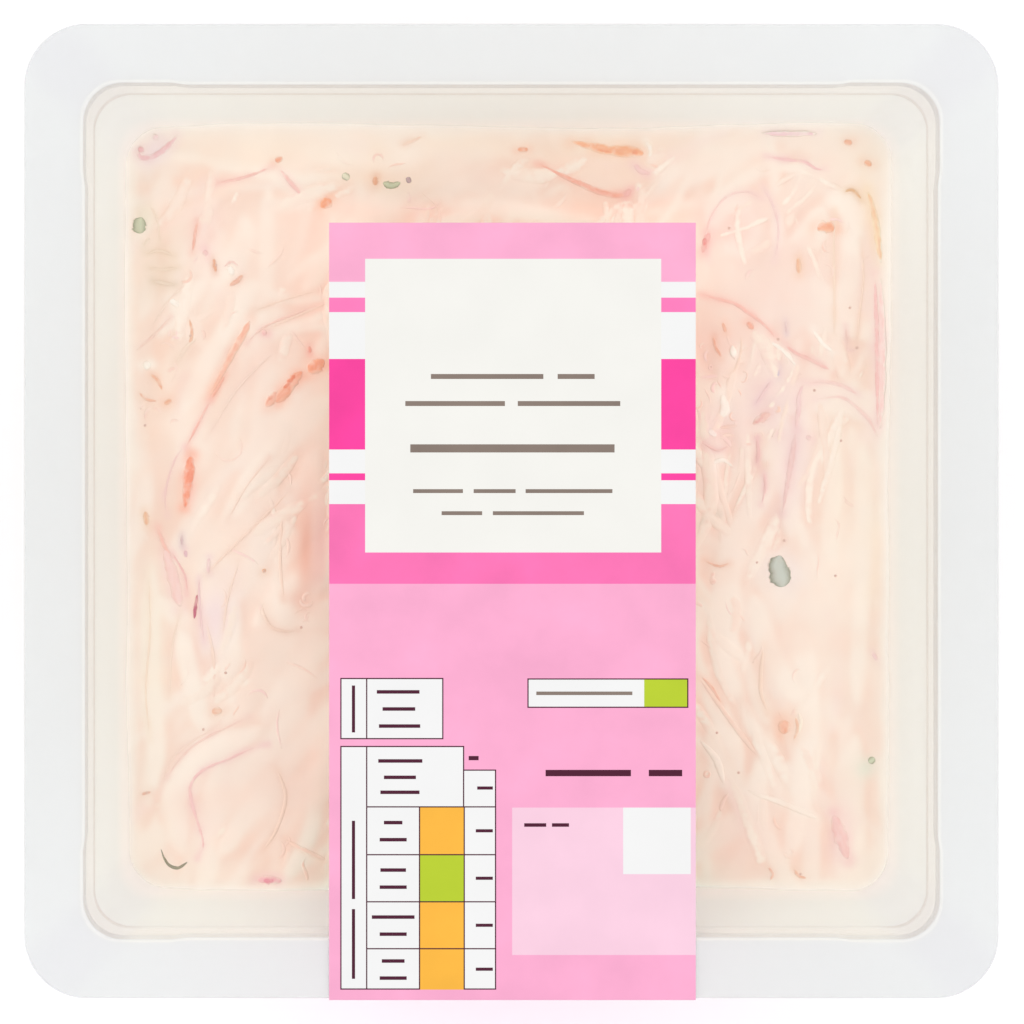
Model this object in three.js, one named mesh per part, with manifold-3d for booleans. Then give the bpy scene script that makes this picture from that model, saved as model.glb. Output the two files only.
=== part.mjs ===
// A sealed shop pack of coleslaw: a square plastic tray, its film lid, the salad and a wrap label.
// Millimetres, +Z up. The origin lies on the surface that the pack stands on, under its middle.
// +X is to the right of someone who reads the label, and the label wraps over the -Y side.

import * as THREE from 'three';
import { mergeVertices } from 'three/addons/utils/BufferGeometryUtils.js';
import Module from 'manifold-3d';

const wasm = await Module();
wasm.setup();

// The tray's flange and its opening.
const flangeHalf = 68.5;
const flangeCorner = 8.85;
const flangeTop = 46;
const flangeThickness = 0.6;
const openingHalf = 59.7;
const openingCorner = 5.6;
const rimRound = 0.35;
const wallThickness = 0.5;

// The stacking step under the rim, which stands out a little in the four corners.
const stepFloor = 43.5;
const stepFoot = 43.2;
const lugLength = 12.2;
const lugBlend = 2;
const lugOut = 0.28;

// The sloping wall, told by its inner half width at the level of the salad.
const saladLevel = 31.5;
const wallHalfAtSalad = 54.6;
const wallSlope = 0.36;
const wallCorner = 5.2;

// The round at the foot of the wall, the four corner feet and the raised middle of the base.
const baseRound = 3.5;
const baseRise = 1;
const baseRoundSteps = 3;
const footInner = 29.5;
const footBlend = 1;
const footCorner = 0.8;
const cornerSteps = 6;

// The film lid and the label that wraps over the front edge and under the base.
const filmThickness = 0.2;
const filmInset = 0.2;
const labelWidth = 51.5;
const labelShift = 0.12;
const labelBack = 40.5;
const labelThickness = 0.2;
const labelUnder = 38;
const labelGap = 0.12;
const labelEdgeRound = 0.35;
const labelBaseRound = 1.1;

// The salad: its clearance to the tray, its shreds and how far they stand out of the dressing.
const saladGap = 0.35;
const saladRings = 8;
const saladSeed = 20531;
const shredCount = 72;
const shredSink = 2.2;
const shredStand = 1.15;

const wallAngle = Math.atan(wallSlope);
const wallSkin = wallThickness / Math.cos(wallAngle);

// Half the inner width of the sloping wall at height z.
function wallHalf(z) {
  return wallHalfAtSalad + wallSlope * (z - saladLevel);
}

// Where the round at the foot of the wall has its centre: as far from the outer wall as its radius.
const baseRoundCentre =
  wallHalf(baseRound) + wallSkin - baseRound / Math.cos(wallAngle);

// A ring of points round a square with rounded corners, anticlockwise seen from above, always with the
// same number of points. The corner zones, lug long from each corner, may stand out by out, and the
// middles of the sides may lie midLift higher than the corners.
function squareRing({ half, corner, z, lug = lugLength, blend = lugBlend, out = 0, midLift = 0 }) {
  const centre = half + out - corner;
  const quarter = [[half, half - lug - blend, z + midLift], [half + out, half - lug, z]];
  for (let i = 0; i <= cornerSteps; i += 1) {
    const turn = (Math.PI / 2) * (i / cornerSteps);
    quarter.push([centre + corner * Math.cos(turn), centre + corner * Math.sin(turn), z]);
  }
  quarter.push([half - lug, half + out, z], [half - lug - blend, half, z + midLift]);
  const ring = [];
  for (let side = 0; side < 4; side += 1) {
    const spin = (Math.PI / 2) * side;
    for (const [x, y, height] of quarter) {
      const point = new THREE.Vector3(x, y, height);
      ring.push(point.applyAxisAngle(new THREE.Vector3(0, 0, 1), spin));
    }
  }
  return ring;
}

// A closed skin from a first middle point, through the rings in their order, to a last middle point.
// Rings that run outwards face up, and rings that run down face outwards.
function closedLoft(firstMiddle, rings, lastMiddle) {
  const count = rings[0].length;
  const points = [firstMiddle, ...rings.flat(), lastMiddle];
  const last = points.length - 1;
  const index = [];
  for (let i = 0; i < count; i += 1) {
    const next = (i + 1) % count;
    index.push(0, 1 + i, 1 + next);
    for (let row = 0; row < rings.length - 1; row += 1) {
      const a = 1 + row * count;
      const b = a + count;
      index.push(a + i, b + i, b + next, a + i, b + next, a + next);
    }
    const end = 1 + (rings.length - 1) * count;
    index.push(end + i, last, end + next);
  }
  const geometry = new THREE.BufferGeometry();
  geometry.setAttribute('position', new THREE.Float32BufferAttribute(points.flatMap((p) => p.toArray()), 3));
  geometry.setIndex(index);
  return geometry;
}

// The rings of the round at the foot of the wall, from the base out, on the skin that lies depth inside
// the outer one. Their corners reach down to the feet, unless footless, and their sides stay raised.
function roundRings(depth, footless = false) {
  const rings = [];
  for (let i = 0; i <= baseRoundSteps; i += 1) {
    const turn = -Math.PI / 2 + (i / baseRoundSteps) * (Math.PI / 2 - wallAngle);
    const half = baseRoundCentre + (baseRound - depth) * Math.cos(turn);
    const z = baseRound + (baseRound - depth) * Math.sin(turn);
    const raised = Math.max(z, baseRise + depth);
    const low = footless ? raised : z;
    rings.push(squareRing({
      half, corner: wallCorner, z: low, lug: half - footInner, blend: footBlend, midLift: raised - low,
    }));
  }
  return rings;
}

// The rings of the whole base: its raised middle, the inner edge of the corner feet, and the round.
function baseRings(depth) {
  const foot = { corner: footCorner, lug: footBlend, blend: footBlend };
  return [
    squareRing({ half: footInner, z: baseRise + depth, ...foot }),
    squareRing({ half: footInner + footBlend, z: depth, midLift: baseRise, ...foot }),
    ...roundRings(depth),
  ];
}

// The tray is one skin: its inside from the floor up, over the flange, and down its outside.
function trayGeometry() {
  const step = { lug: lugLength, out: lugOut };
  const stepCorner = openingCorner - 0.25;
  const inside = [
    ...baseRings(wallThickness),
    squareRing({ half: wallHalf(stepFoot), corner: wallCorner, z: stepFoot }),
    squareRing({ half: openingHalf - 0.15, corner: stepCorner, z: stepFloor, ...step }),
    squareRing({ half: openingHalf, corner: openingCorner, z: flangeTop - rimRound, ...step }),
    squareRing({ half: openingHalf + rimRound, corner: openingCorner, z: flangeTop, ...step }),
  ];
  const underFlange = flangeTop - flangeThickness;
  const outside = [
    squareRing({ half: flangeHalf, corner: flangeCorner, z: flangeTop }),
    squareRing({ half: flangeHalf, corner: flangeCorner, z: underFlange }),
    squareRing({ half: openingHalf + rimRound + wallThickness, corner: openingCorner, z: underFlange, ...step }),
    squareRing({ half: openingHalf - 0.15 + wallThickness, corner: stepCorner, z: stepFoot - 0.2, ...step }),
    squareRing({ half: wallHalf(stepFoot - 0.5) + wallSkin, corner: wallCorner, z: stepFoot - 0.5 }),
    ...baseRings(0).reverse(),
  ];
  const floorMiddle = new THREE.Vector3(0, 0, baseRise + wallThickness);
  const baseMiddle = new THREE.Vector3(0, 0, baseRise);
  return closedLoft(floorMiddle, [...inside, ...outside], baseMiddle);
}

// The film is sealed flat on the flange and spans the opening.
function filmGeometry() {
  const size = { half: flangeHalf - filmInset, corner: flangeCorner - filmInset };
  const top = flangeTop + filmThickness;
  return closedLoft(
    new THREE.Vector3(0, 0, top),
    [squareRing({ ...size, z: top }), squareRing({ ...size, z: flangeTop })],
    new THREE.Vector3(0, 0, flangeTop),
  );
}

// A path of straight runs whose corners are arcs of the given radii, as points.
function roundedPath(corners, radii, arcSteps) {
  const path = [corners[0]];
  for (let i = 1; i < corners.length - 1; i += 1) {
    const back = corners[i - 1].clone().sub(corners[i]).normalize();
    const ahead = corners[i + 1].clone().sub(corners[i]).normalize();
    const halfAngle = Math.acos(back.dot(ahead)) / 2;
    const reach = radii[i - 1] / Math.tan(halfAngle);
    const centre = back.clone().add(ahead).normalize().multiplyScalar(radii[i - 1] / Math.sin(halfAngle));
    centre.add(corners[i]);
    const from = corners[i].clone().addScaledVector(back, reach).sub(centre);
    const to = corners[i].clone().addScaledVector(ahead, reach).sub(centre);
    const sweep = Math.atan2(from.cross(to), from.dot(to));
    for (let k = 0; k <= arcSteps; k += 1) {
      const spun = from.clone().rotateAround(new THREE.Vector2(), sweep * (k / arcSteps));
      path.push(spun.add(centre));
    }
  }
  path.push(corners.at(-1));
  return path;
}

// The outline of a thin band of even thickness along a path.
function bandOutline(path, thickness) {
  const offset = (side) => path.map((point, i) => {
    const before = path[Math.max(i - 1, 0)];
    const after = path[Math.min(i + 1, path.length - 1)];
    const along = after.clone().sub(before).normalize();
    return point.clone().add(new THREE.Vector2(-along.y, along.x).multiplyScalar(side * thickness / 2));
  });
  return [...offset(1), ...offset(-1).reverse()];
}

// The label lies on the film, turns down over the flange's front edge, runs taut to the foot of the
// wall and ends under the raised base, clear of the surface that the pack stands on.
function labelGeometry() {
  const mid = labelThickness / 2;
  const front = -(flangeHalf + labelGap + mid);
  const top = flangeTop + filmThickness + mid;
  const under = baseRise - labelGap - mid;
  const edge = new THREE.Vector2(front, flangeTop - flangeThickness - labelGap);
  const slope = new THREE.Vector2(-baseRoundCentre, baseRound).sub(edge);
  const clearance = baseRound + labelGap + mid;
  slope.rotateAround(new THREE.Vector2(), -Math.asin(clearance / slope.length()));
  const footFront = edge.x + slope.x * ((under - edge.y) / slope.y);
  const corners = [
    new THREE.Vector2(labelBack, top),
    new THREE.Vector2(front, top),
    edge,
    new THREE.Vector2(footFront, under),
    new THREE.Vector2(footFront + labelUnder, under),
  ];
  const path = roundedPath(corners, [labelEdgeRound, labelEdgeRound, labelBaseRound], 4);
  const band = new THREE.Shape(bandOutline(path, labelThickness));
  const geometry = new THREE.ExtrudeGeometry(band, { depth: labelWidth, bevelEnabled: false });
  geometry.translate(0, 0, labelShift - labelWidth / 2);
  const profileToPack = new THREE.Matrix4().makeBasis(
    new THREE.Vector3(0, 1, 0),
    new THREE.Vector3(0, 0, 1),
    new THREE.Vector3(1, 0, 0),
  );
  return geometry.applyMatrix4(profileToPack);
}

// Even random numbers from 0 to 1, the same on each run.
function seededRandom(seed) {
  let state = seed;
  return () => {
    state = (state + 0x6d2b79f5) | 0;
    let mixed = Math.imul(state ^ (state >>> 15), 1 | state);
    mixed = (mixed + Math.imul(mixed ^ (mixed >>> 7), 61 | mixed)) ^ mixed;
    return ((mixed ^ (mixed >>> 14)) >>> 0) / 4294967296;
  };
}

// The level of the dressed salad: long swells, with the far side heaped a little higher.
function foodLevel(x, y) {
  const swell = 0.55 * Math.sin(x / 13 + 0.6) * Math.cos(y / 17 - 0.4);
  const ripple = 0.4 * Math.sin(x / 6.1 + y / 8.3 + 1.1) + 0.3 * Math.cos(y / 5.2 - x / 9.7);
  return saladLevel + swell + ripple + 0.6 * (y / wallHalfAtSalad);
}

const saladFoot = new THREE.Vector3(0, 0, baseRise + wallThickness + saladGap);

// The body of the salad: an uneven top out to the tray's wall, and its sides and foot inside the tray.
function saladCore() {
  const topHalf = wallHalf(saladLevel) - saladGap;
  const rings = [];
  for (let i = 1; i <= saladRings; i += 1) {
    const share = i / saladRings;
    const ring = squareRing({
      half: topHalf * share, corner: wallCorner * share, z: 0, lug: lugLength * share, blend: 14 * share,
    });
    for (const point of ring) {
      point.z = foodLevel(point.x, point.y);
      const stretch = (wallHalf(point.z) - saladGap) / topHalf;
      if (i === saladRings) point.multiply(new THREE.Vector3(stretch, stretch, 1));
    }
    rings.push(ring);
  }
  const low = roundRings(wallThickness + saladGap, true).reverse();
  return closedLoft(new THREE.Vector3(0, 0, foodLevel(0, 0)), [...rings, ...low], saladFoot);
}

// A shred: a strip along a smooth curve that lies in the dressing, with a crowned top and narrow ends.
function shredGeometry({ route, width, stand = shredStand, steps = 6 }) {
  const curve = new THREE.CatmullRomCurve3(route.map(([x, y]) => new THREE.Vector3(x, y, 0)));
  const positions = [];
  for (let i = 0; i <= steps; i += 1) {
    const share = i / steps;
    const place = curve.getPointAt(share);
    const along = curve.getTangentAt(share);
    const left = new THREE.Vector3(-along.y, along.x, 0);
    const ends = 0.62 + 0.38 * Math.sin(Math.PI * share) ** 0.5;
    const level = foodLevel(place.x, place.y);
    const crown = [[0.5, -shredSink], [0.42, 0.55 * stand], [0, stand], [-0.42, 0.55 * stand], [-0.5, -shredSink]];
    for (const [side, rise] of crown) {
      const lift = rise > 0 ? rise * ends : rise;
      const point = place.clone().addScaledVector(left, side * width * ends);
      positions.push(point.x, point.y, level + lift);
    }
  }
  const around = 5;
  const index = [];
  for (let i = 0; i < steps; i += 1) {
    for (let k = 0; k < around; k += 1) {
      const a = i * around + k;
      const b = i * around + ((k + 1) % around);
      index.push(a, b, b + around, a, b + around, a + around);
    }
  }
  for (let k = 1; k < around - 1; k += 1) {
    const end = steps * around;
    index.push(0, k + 1, k, end, end + k, end + k + 1);
  }
  const geometry = new THREE.BufferGeometry();
  geometry.setAttribute('position', new THREE.Float32BufferAttribute(positions, 3));
  geometry.setIndex(index);
  return geometry;
}

// The shreds that stand out, each by its route over the salad.
const boldShreds = [
  { route: [[-38.3, -31.9], [-44.6, -35.6], [-48, -41], [-47, -46.5], [-49, -50.5]], width: 4.9, stand: 1.9, steps: 8 },
  { route: [[-34.4, -35.5], [-35.4, -41.4], [-38, -47.5]], width: 3.6 },
  { route: [[-49, -16.5], [-46.6, -23], [-42, -31]], width: 4, stand: 1.5 },
  { route: [[-32.2, -5], [-32.9, -12], [-34.5, -20]], width: 5, stand: 1.5 },
  { route: [[-51, -1.5], [-49, -6.4], [-47.6, -15]], width: 2.9 },
  { route: [[-36.4, 28.5], [-40.7, 21.8], [-43.4, 14.5]], width: 1.7 },
  { route: [[-45.8, 8.5], [-46.2, 4], [-46.8, 0]], width: 1.9, stand: 1.5, steps: 4 },
  { route: [[-53, 52], [-52, 49.8], [-49.9, 50.6], [-47.6, 53.6]], width: 2.2, stand: 1.5 },
  { route: [[46.6, 46], [50, 42.4], [49.6, 37], [48.6, 31.5]], width: 3.9, stand: 1.7 },
  { route: [[52, 35], [52.7, 24], [52.6, 12.5]], width: 2.4 },
  { route: [[26, 31.4], [32.6, 28.9], [37.6, 25], [46, 19.6]], width: 1.6 },
  { route: [[40.9, 18], [39.7, 7], [38.4, -2]], width: 1.7 },
  { route: [[8, 52.6], [13, 52.1], [18.6, 51]], width: 1.9, stand: 1.4, steps: 4 },
  { route: [[46.4, -42.6], [47.8, -46.4], [47.4, -50]], width: 2.6, steps: 4 },
  { route: [[29.5, 44], [33, 45.6], [37, 42], [34, 37.6]], width: 4.2, stand: 1.5 },
  { route: [[36.8, -28.4], [39.2, -30.8], [40.6, -33]], width: 3.2, stand: 1.6, steps: 4 },
];

// The other shreds lie in a grid of places, shaken, and follow the lie of the salad: aslant on the
// left, along the pack on the right, and every way between.
function looseShreds() {
  const random = seededRandom(saladSeed);
  const between = (low, high) => low + (high - low) * random();
  const across = Math.ceil(Math.sqrt(shredCount));
  const pitch = (2 * (wallHalfAtSalad - 5)) / across;
  const shreds = [];
  for (let i = 0; i < shredCount; i += 1) {
    const x = -wallHalfAtSalad + 5 + pitch * ((i % across) + between(0.2, 0.8));
    const y = wallHalfAtSalad - 5 - pitch * (Math.floor(i / across) + between(0.2, 0.8));
    const lie = x < 0 ? between(0.9, 1.5) : between(1.3, 1.9);
    const heading = random() < 0.25 ? between(0, Math.PI) : lie;
    const length = between(13, 24);
    const bend = between(-0.5, 0.5);
    const route = [-0.5, 0, 0.5].map((step) => {
      const turned = heading + bend * step;
      const swing = bend * length * (0.25 - step * step);
      return [
        x + length * step * Math.cos(turned) - swing * Math.sin(heading),
        y + length * step * Math.sin(turned) + swing * Math.cos(heading),
      ];
    });
    shreds.push({ route, width: between(1.8, 4), stand: between(0.8, 1.6), steps: 4 });
  }
  return shreds;
}

// A three.js geometry as a solid that can be joined and cut.
function solid(geometry) {
  const bare = geometry.clone();
  bare.deleteAttribute('normal');
  bare.deleteAttribute('uv');
  const merged = mergeVertices(bare, 1e-4);
  const vertProperties = new Float32Array(merged.attributes.position.array);
  const triVerts = new Uint32Array(merged.index.array);
  return new wasm.Manifold(new wasm.Mesh({ numProp: 3, vertProperties, triVerts }));
}

// A joined solid as a three.js geometry again.
function geometryOf(joined) {
  const mesh = joined.getMesh();
  const geometry = new THREE.BufferGeometry();
  geometry.setAttribute('position', new THREE.BufferAttribute(new Float32Array(mesh.vertProperties), 3));
  geometry.setIndex(new THREE.BufferAttribute(new Uint32Array(mesh.triVerts), 1));
  return geometry;
}

// The room inside the tray that the salad may fill: its wall and base, less the clearance.
function saladRoom() {
  const rings = [
    squareRing({ half: wallHalf(stepFoot) - saladGap, corner: wallCorner, z: stepFoot }),
    ...roundRings(wallThickness + saladGap, true).reverse(),
  ];
  return closedLoft(new THREE.Vector3(0, 0, stepFoot), rings, saladFoot);
}

// The salad is one heap: the body with its shreds fused on, cut off where the tray's wall is.
function saladGeometry() {
  const shreds = [...boldShreds, ...looseShreds()];
  const heap = shreds.reduce((whole, shred) => whole.add(solid(shredGeometry(shred))), solid(saladCore()));
  return geometryOf(heap.intersect(solid(saladRoom())));
}

function named(name, geometry, look) {
  const mesh = new THREE.Mesh(geometry, new THREE.MeshStandardMaterial(look));
  mesh.name = name;
  return mesh;
}

const pack = new THREE.Group();
pack.add(
  named('tray', trayGeometry(), { color: 0xe9e7e3, roughness: 0.35, metalness: 0, transparent: true, opacity: 0.55 }),
  named('lid_film', filmGeometry(), { color: 0xffffff, roughness: 0.1, metalness: 0, transparent: true, opacity: 0.15 }),
  named('coleslaw', saladGeometry(), { color: 0xf8e8d2, roughness: 0.4, metalness: 0 }),
  named('label', labelGeometry(), { color: 0xf4c4d4, roughness: 0.6, metalness: 0 }),
);

export default pack;
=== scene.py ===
"""A sealed pack of coleslaw: a frosted tray, clear lid film, a printed wrap label and the salad.

Sizes are in millimetres and make_piece() turns them into metres. +Z is up, and the label
wraps over the -Y side. Colours are written as 0 to 255 screen values and turned linear.
"""

import bpy
import numpy as np
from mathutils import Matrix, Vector


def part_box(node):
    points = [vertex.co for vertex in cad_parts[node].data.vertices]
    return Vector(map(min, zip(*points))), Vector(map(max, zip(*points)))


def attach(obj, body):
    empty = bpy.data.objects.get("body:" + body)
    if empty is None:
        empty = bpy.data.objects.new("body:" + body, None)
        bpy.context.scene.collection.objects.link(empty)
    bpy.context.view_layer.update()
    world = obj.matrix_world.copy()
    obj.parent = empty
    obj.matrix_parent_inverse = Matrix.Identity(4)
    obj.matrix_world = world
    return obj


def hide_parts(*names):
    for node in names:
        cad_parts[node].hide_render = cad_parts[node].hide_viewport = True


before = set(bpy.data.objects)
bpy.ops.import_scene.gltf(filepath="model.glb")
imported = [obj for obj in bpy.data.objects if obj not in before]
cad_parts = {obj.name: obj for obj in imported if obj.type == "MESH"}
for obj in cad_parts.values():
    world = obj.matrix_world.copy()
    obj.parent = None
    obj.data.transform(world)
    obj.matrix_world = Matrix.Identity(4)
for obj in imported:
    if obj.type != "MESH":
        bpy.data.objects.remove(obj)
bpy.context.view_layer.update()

MM = 0.001
tray_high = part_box("tray")[1]
film_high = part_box("lid_film")[1]
label_low, label_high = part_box("label")

# The tray, from its flange in to its opening.
FLANGE_HALF = tray_high[0] / MM
FLANGE_TOP = tray_high[2] / MM
FLANGE_CORNER = 8.85
FLANGE_THICKNESS = 0.6
FLANGE_EDGE_ROUND = 0.25
OPENING_HALF = 59.85
OPENING_CORNER = 5.6
RIM_ROUND = 0.35
WALL_THICKNESS = 0.5

# The stacking step under the rim, which stands out a little in the four corners.
STEP_FLOOR = 43.5
STEP_FOOT = 43.2
STEP_INSET = 0.15
LUG_LENGTH = 12.2
LUG_BLEND = 2.0
LUG_OUT = 0.28

# The sloping wall, the round at its foot, the corner feet and the raised base.
SALAD_LEVEL = 31.5
WALL_HALF_AT_SALAD = 54.6
WALL_SLOPE = 0.36
WALL_CORNER = 5.2
BASE_ROUND = 3.5
BASE_RISE = 1.0
BASE_ROUND_STEPS = 9
FOOT_INNER = 29.5
FOOT_BLEND = 1.0
FOOT_CORNER = 0.8
ARC_STEPS = 5
WALL_ANGLE = np.arctan(WALL_SLOPE)
WALL_SKIN = WALL_THICKNESS / np.cos(WALL_ANGLE)

# The film and the label on it.
FILM_TOP = film_high[2] / MM
FILM_THICKNESS = 0.12
FILM_RIPPLE = 0.05
FILM_INSET = 0.3
FILM_RINGS = 34
FILM_FREE_REACH = 14.0
LABEL_LEFT, LABEL_RIGHT = label_low[0] / MM, label_high[0] / MM
LABEL_BACK = label_high[1] / MM
LABEL_THICKNESS = 0.12
LABEL_GAP = 0.12
LABEL_UNDER = 38.0
LABEL_EDGE_ROUND = 0.35
LABEL_BASE_ROUND = 1.1
LABEL_CELL = 2.5

# The salad reaches this far into the tray's wall, so that no air shows between them, and its
# dressing creeps up the wall.
INTO_WALL = 0.015
RIM_CREEP = 0.8
RIM_CREEP_REACH = 0.8
RASTER_PITCH = 0.25
RASTER_MARGIN = 2.0
SEED = 20531

# How many shreds are drawn at random: laid under the dressing, half out of it, and curled.
LAID_SHREDS = 430
CABBAGE_SHREDS = 330
LOOSE_CURLS = 70

# A laid shred's ends are rounded, and no narrower than a share of its width. The sides of its
# arch start a share of its rise under what it lies on, which is levelled over a few points. The
# lowest ones lie a depth under the level of the dressed salad.
END_ROUNDNESS = 8.8
END_WIDTH = 0.25
ARCH_START = 0.3
BED_POINTS = 5
LAID_DEPTH = 0.35

# How far the edges of a shred bend down into the dressing, the least and the most that it arches
# up, and how much of the relief the dressing leaves: at the front and at the back.
SHRED_SKIRT = 0.15
SHRED_DEPTH = (0.07, 0.4)
SOFT_RELIEF = (0.55, 0.8)

# The points round a shred, close over its top and sparse under it, and how far apart the shreds
# lie in the pattern of their streaks.
ROUND_SHRED = np.concatenate([np.linspace(0, np.pi, 11), [1.25 * np.pi, 1.5 * np.pi, 1.75 * np.pi]])
ACROSS_SHRED = np.cos(ROUND_SHRED)
GRAIN_APART = 3.7

# How sharply the salad's top is drawn out at its rim to meet the wall.
WALL_PULL = 40

# The camera stands off the middle, so what lies as deep as the salad is seen a little moved. The
# lists of the salad's own pieces give the places where they are seen.
SEEN_STRETCH = 1.0078
SEEN_SHIFT = (0.58, -0.3)

# Painted light: gains on the salad's colours in the open, and where the label over it keeps off
# part of the light.
OPEN_GAIN = np.array((0.935, 0.94, 0.935))
SHADED_GAIN = np.array((1.1, 0.985, 0.965))
RIGHT_GAIN = np.array((1.02, 1.05, 1.06))
FRONT_GAIN = 1.065
FRONT_GAIN_SHARES = (0.5, 1.9)
FRONT_START, FRONT_REACH = -38.0, 12.0
LABEL_SHADE_REACH = 6.0

# Noise textures mostly keep between these, and the grain of a mottled colour is this much finer
# than its clouds.
NOISE_RANGE = (0.3, 0.7)
GRAIN_TO_CLOUD = 22.0


# ---------------------------------------------------------------- small helpers


def ink(red, green, blue):
    """A screen colour, 0 to 255, as linear light."""
    screen = np.array([red, green, blue]) / 255
    return np.where(screen <= 0.04045, screen / 12.92, ((screen + 0.055) / 1.055) ** 2.4)


def smooth_step(share):
    """0 below 0, 1 above 1, and a curve with flat ends between."""
    share = np.clip(share, 0, 1)
    return share * share * (3 - 2 * share)


def mix(low, high, share):
    return low + (high - low) * share


def wall_half(z):
    """Half the inner width of the tray's sloping wall at height z."""
    return WALL_HALF_AT_SALAD + WALL_SLOPE * (z - SALAD_LEVEL)


BASE_ROUND_CENTRE = wall_half(BASE_ROUND) + WALL_SKIN - BASE_ROUND / np.cos(WALL_ANGLE)


def turning_square(shares):
    """Points on the edge of the unit square, anticlockwise from the middle of its +X side.

    The shares, from 0 in the middle of a side to 1 at its corner, place them on each half side."""
    up = np.stack([np.ones_like(shares), shares], axis=1)
    back = np.stack([shares, np.ones_like(shares)], axis=1)[-2:0:-1]
    quarter = np.concatenate([up, back])
    turns = [quarter, quarter @ [[0, 1], [-1, 0]], -quarter, quarter @ [[0, -1], [1, 0]]]
    return np.concatenate(turns)


def ring_points(places, half, corner, z, out=0.0, lug=LUG_LENGTH, blend=LUG_BLEND, lift=0.0):
    """Points of a square ring with rounded corners, for places on the edge of the unit square.

    Along a side the point moves with its place, and past 1 - corner / half it turns round the
    corner's quarter circle. The corner zones stand out by out, and the middles lie lift higher."""
    size = np.abs(places)
    along_y = size[..., 0] >= size[..., 1]
    share = np.where(along_y, size[..., 1], size[..., 0])
    arc = corner / half
    turn = np.clip((share - (1 - arc)) / arc, 0, 1) * np.pi / 4
    side = half + out - corner
    along = np.where(turn > 0, side + corner * np.sin(turn), side * share / (1 - arc))
    zone = smooth_step((along - (half - lug - blend)) / blend)
    outward = np.where(turn > 0, side + corner * np.cos(turn), half + out * zone)
    x = np.where(along_y, outward, along) * np.sign(places[..., 0])
    y = np.where(along_y, along, outward) * np.sign(places[..., 1])
    return np.stack(np.broadcast_arrays(x, y, z + lift * (1 - zone)), axis=-1)


def grid_faces(rows, columns, start=0, closed=True):
    """Quads over rows of points. Closed rows join their last point to their first."""
    ends = columns if closed else columns - 1
    row = np.arange(rows - 1)[:, None] * columns
    column = np.arange(ends)[None, :]
    after = (column + 1) % columns
    quads = [row + column, row + columns + column, row + columns + after, row + after]
    return np.stack(np.broadcast_arrays(*quads), axis=-1).reshape(-1, 4) + start


def fan_faces(middle, first, count, upward):
    """Triangles from a middle point to a ring of points, facing up, or down."""
    here = first + np.arange(count)
    after = first + (np.arange(count) + 1) % count
    pair = [here, after] if upward else [after, here]
    return np.stack([np.full(count, middle), *pair], axis=1)


def closed_loft(rings, first_z, last_z):
    """A closed skin over rings of points, with a point on the axis at each end.

    Rings that run outwards face up, and rings that run down face outwards."""
    rows, count = rings.shape[:2]
    points = np.concatenate([rings.reshape(-1, 3), [[0, 0, first_z], [0, 0, last_z]]])
    first, last = rows * count, rows * count + 1
    faces = [
        grid_faces(rows, count),
        fan_faces(first, 0, count, upward=True),
        fan_faces(last, first - count, count, upward=False),
    ]
    return points, faces


def make_piece(name, points, faces, material, node, sharp=None):
    """A mesh piece from points in millimetres and arrays of faces, put in a node's place."""
    mesh = bpy.data.meshes.new(name)
    mesh.vertices.add(len(points))
    mesh.vertices.foreach_set("co", (np.asarray(points) * MM).ravel())
    corners = np.concatenate([f.ravel() for f in faces])
    sizes = np.concatenate([np.full(len(f), f.shape[1]) for f in faces])
    mesh.loops.add(len(corners))
    mesh.loops.foreach_set("vertex_index", corners)
    mesh.polygons.add(len(sizes))
    mesh.polygons.foreach_set("loop_start", np.cumsum(sizes) - sizes)
    mesh.update(calc_edges=True)
    mesh.shade_smooth()
    if sharp:
        mesh.set_sharp_from_angle(angle=np.radians(sharp))
    mesh.materials.append(material)
    piece = bpy.data.objects.new(name, mesh)
    bpy.context.scene.collection.objects.link(piece)
    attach(piece, "root")
    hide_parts(node)
    return piece


def give_values(piece, name, kind, values, domain="POINT"):
    """Writes values, one for each point or face corner, as an attribute."""
    part = {"FLOAT": "value", "FLOAT_VECTOR": "vector", "FLOAT_COLOR": "color"}[kind]
    attribute = piece.data.attributes.new(name, kind, domain)
    attribute.data.foreach_set(part, values.ravel())


def give_colours(piece, name, colours, domain="POINT"):
    """Writes linear colours as an attribute."""
    opaque = np.concatenate([colours, np.ones((len(colours), 1))], axis=1)
    give_values(piece, name, "FLOAT_COLOR", opaque, domain)


# ---------------------------------------------------------------- shader helpers


def add_node(tree, kind, inputs=None, **settings):
    """A shader node with its settings, and its inputs set to values or linked to outputs."""
    made = tree.nodes.new(kind)
    for key, value in settings.items():
        setattr(made, key, value)
    for key, value in (inputs or {}).items():
        if isinstance(value, bpy.types.NodeSocket):
            tree.links.new(value, made.inputs[key])
        else:
            made.inputs[key].default_value = value
    return made


def new_group(name, inputs, outputs):
    """An empty shader node group with named sockets."""
    group = bpy.data.node_groups.new(name, "ShaderNodeTree")
    for socket, kind, value in inputs:
        made = group.interface.new_socket(socket, in_out="INPUT", socket_type=kind)
        made.default_value = value
    for socket, kind in outputs:
        group.interface.new_socket(socket, in_out="OUTPUT", socket_type=kind)
    return group


def new_material(name):
    """A material with no nodes in it yet, and its node tree."""
    material = bpy.data.materials.new(name)
    material.use_nodes = True
    material.node_tree.nodes.clear()
    return material, material.node_tree


def end_in(tree, shader):
    """Links a shader to a material's output."""
    add_node(tree, "ShaderNodeOutputMaterial", {"Surface": shader})


def principled(tree, inputs):
    return add_node(tree, "ShaderNodeBsdfPrincipled", inputs).outputs[0]


def stored(tree, name, output="Color"):
    """What a piece stores for each of its points under a name."""
    return add_node(tree, "ShaderNodeAttribute", attribute_name=name).outputs[output]


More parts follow.
